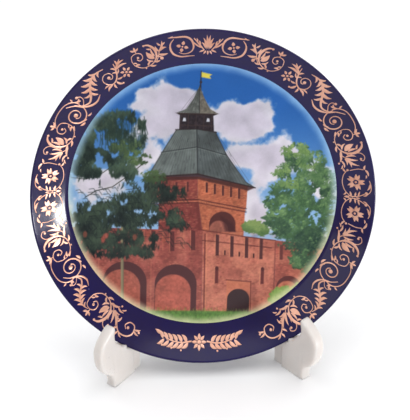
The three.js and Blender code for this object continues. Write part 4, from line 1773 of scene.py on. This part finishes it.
def plate_gap(points):
    """Millimetres from each point in metres to the plate's skin, roughly, by its section."""
    flat = lie_down(points)
    radius = np.hypot(flat[:, 0], flat[:, 1])
    above = flat[:, 2] - front_height(np.minimum(radius, lip_top_radius))
    below = front_height(np.minimum(radius, lip_top_radius)) - lip_thickness - flat[:, 2]
    beyond = radius - plate_radius
    outside = np.maximum.reduce([above, below, beyond])
    near_ring = np.maximum(np.abs(radius - ring_radius) - 1.8, -ring_face_depth - flat[:, 2])
    return np.minimum(np.abs(outside), np.maximum(near_ring, 0) + 0.1)


def mould_leaf(node_name, piece_name, body, side):
    """One leaf of the stand, skinned, relaxed and marked by its mould."""
    mesh = even_skin(frame["nodes"][node_name], piece_name, skin_cell)
    points = mesh_points(mesh)
    edges = np.zeros(len(mesh.edges) * 2, int)
    mesh.edges.foreach_get("vertices", edges)
    edges = edges.reshape(-1, 2)
    along, out, height = leaf_place(points, side).T
    hook = np.clip((along - hook_start) / 3, 0, 1)
    weights = 0.16 + 0.84 * hook
    weights *= 0.08 + 0.92 * np.clip((plate_gap(points) - 0.7) / 1.2, 0, 1)
    near_pin = np.hypot(along, out) < knuckle_radius + 0.6
    weights[near_pin] = 0.05
    weights *= np.clip((height - 0.25) / 0.8, 0, 1)
    points = relax(points, edges, weights, relax_steps)
    mesh.vertices.foreach_set("co", points.ravel())
    mesh.update()
    normals = np.zeros(len(points) * 3)
    mesh.vertices.foreach_get("normal", normals)
    normals = normals.reshape(-1, 3)
    along, out, height = leaf_place(points, side).T

    # Round marks of the ejector pins on the inside of the web.
    press = np.zeros(len(points))
    inner = (np.abs(out - web_inner_face) < 0.25) & (along < hook_start)
    for mark_along, mark_height in mark_spots:
        away = np.hypot(along - mark_along, height - mark_height)
        press += np.where(inner, np.clip((mark_radius - away) / 0.35, 0, 1), 0) * mark_depth

    # A soft crease where the hook turns up from the foot.
    crease = np.exp(-(((along - crease_along) / 1.1) ** 2)) * np.clip((20 - height) / 6, 0, 1)
    press += np.where(out < 1.2, crease, 0) * crease_depth
    points = points - normals * press[:, None] * MM
    mesh.vertices.foreach_set("co", points.ravel())
    mesh.update()
    mesh.materials.clear()
    mesh.materials.append(milky_plastic)
    mesh.shade_smooth()
    mesh.set_sharp_from_angle(angle=math.radians(46))
    piece = bpy.data.objects.new(piece_name, mesh)
    bpy.context.scene.collection.objects.link(piece)
    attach(piece, body)
    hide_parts(node_name)
    print(f"{piece_name}: {len(mesh.polygons)} faces")


for side_name, side in (("right", 1), ("left", -1)):
    mould_leaf(f"{side_name}_leaf", f"{side_name}_leaf_moulding", f"{side_name}_stand", side)

# %% [markdown]
# ## The hinge pin
#
# The two leaves share one long pin through their four knuckles. It goes in
# straight and its thin end is then flattened to a low dome with heat, which
# is why one head is flat and the other is rounded.

# %% Turn the hinge pin
pin_bottom, pin_top = pin_low.z / MM, pin_high.z / MM
pin_radius = 1.5
head_radius = 2.6
head_height = 1.3
pin_section = np.vstack(
    [
        [[0, pin_bottom], [head_radius - 0.35, pin_bottom]],
        bezier([(head_radius - 0.35, pin_bottom), (head_radius, pin_bottom),
                (head_radius, pin_bottom + 0.35)], 5),
        [[head_radius, pin_bottom + head_height - 0.15], [head_radius - 0.15, pin_bottom + head_height]],
        [[pin_radius, pin_bottom + head_height], [pin_radius, pin_top - head_height]],
        [[head_radius - 0.1, pin_top - head_height], [head_radius, pin_top - head_height + 0.1]],
        bezier([(head_radius, pin_top - head_height * 0.55), (head_radius * 0.86, pin_top - 0.12),
                (head_radius * 0.4, pin_top), (0, pin_top)], 9),
    ]
)
points, faces = turned(pin_section, 48)
pin_points = (points + np.array([0, hinge_y, 0])) * MM
pin_piece = make_piece("hinge_pin_turned", pin_points, faces, milky_plastic, sharp=math.radians(40))
face_outwards(pin_piece)
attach(pin_piece, "hinge")
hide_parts("hinge_pin")
print(f"hinge pin: {len(faces)} faces")

# %% [markdown]
# ## Table, lights and camera
#
# A pale table and one big soft light from above leave the cobalt deep and
# the porcelain bright. The plate leans back and its rim is dished, so the
# left of the rim mirrors what stands low on the right: a small light there
# puts a spark on the gilding opposite.

# %% A pale table
table_finish = drifting_material(
    "pale_table",
    linear(250, 250, 250),
    linear(244, 244, 246),
    drift=(3, 40, 0.8),
    ripple=(20, 0.0001, 500, 0.00001),
    rough=(0.75, 0.9),
    shader_values={"Specular IOR Level": 0.2},
)
table_half = 6.0
table_points = [
    (x * table_half, y * table_half, 0) for x, y in ((-1, -1), (1, -1), (1, 1), (-1, 1))
]
table = make_piece("table", table_points, [[0, 1, 2, 3]], table_finish, sharp=None)
print("laid the table")

# %% Soft studio lights


def softbox(name, place, target, size, watts, tint=(1, 1, 1)):
    """A rectangular light at a place in metres, aimed at a target."""
    lamp = bpy.data.lights.new(name, "AREA")
    lamp.shape = "RECTANGLE"
    lamp.size, lamp.size_y = size
    lamp.energy = watts
    lamp.color = tint
    holder = bpy.data.objects.new(name, lamp)
    holder.location = place
    holder.rotation_euler = (Vector(target) - Vector(place)).to_track_quat("-Z", "Y").to_euler()
    bpy.context.scene.collection.objects.link(holder)


plate_middle = (0, 0, 0.08)
left_of_rim = (-0.06, 0, 0.08)
softbox("ceiling", (0.0, 0.1, 1.25), (0, 0, 0), (2.2, 1.7), 23)
softbox("window", (-0.85, -0.75, 0.6), plate_middle, (0.7, 0.7), 2.0, (0.96, 0.98, 1))
softbox("spark", (0.54, -0.45, 0.04), left_of_rim, (0.14, 0.07), 2.6)

world = bpy.data.worlds.new("soft_room")
world.use_nodes = True
backdrop = world.node_tree.nodes["Background"]
backdrop.inputs["Color"].default_value = (1, 1, 1, 1)
backdrop.inputs["Strength"].default_value = 0.34
bpy.context.scene.world = world
bpy.context.scene.view_settings.view_transform = "Standard"
print("three softboxes and a dim room")

# %% The camera
# It stands in front, looks down by the tilt, and is swung and rolled by a degree or two.
tilt = math.radians(31.2)
swing_round = math.radians(-1.997)
roll = math.radians(0.999)
distance = 0.46855
shift_right = 0.000515
shift_down = 0.0031
back = Vector((
    math.sin(swing_round) * math.cos(tilt),
    -math.cos(swing_round) * math.cos(tilt),
    math.sin(tilt),
))
across = Vector((0, 0, 1)).cross(back).normalized()
over = back.cross(across)
camera_right = math.cos(roll) * across - math.sin(roll) * over
camera_up = math.sin(roll) * across + math.cos(roll) * over
rim_middle = plate_origin + plate_out * rim_rise * MM
camera_place = rim_middle + shift_right * camera_right - shift_down * camera_up + distance * back

lens = bpy.data.cameras.new("product_camera")
lens.lens = 92.49
lens.sensor_width = 36
lens.sensor_fit = "AUTO"
lens.clip_start = 0.01
camera = bpy.data.objects.new("product_camera", lens)
turn_matrix = Matrix((camera_right, camera_up, back)).transposed().to_4x4()
camera.matrix_world = Matrix.Translation(camera_place) @ turn_matrix
bpy.context.scene.collection.objects.link(camera)
bpy.context.scene.camera = camera
print("the camera looks down on the plate")
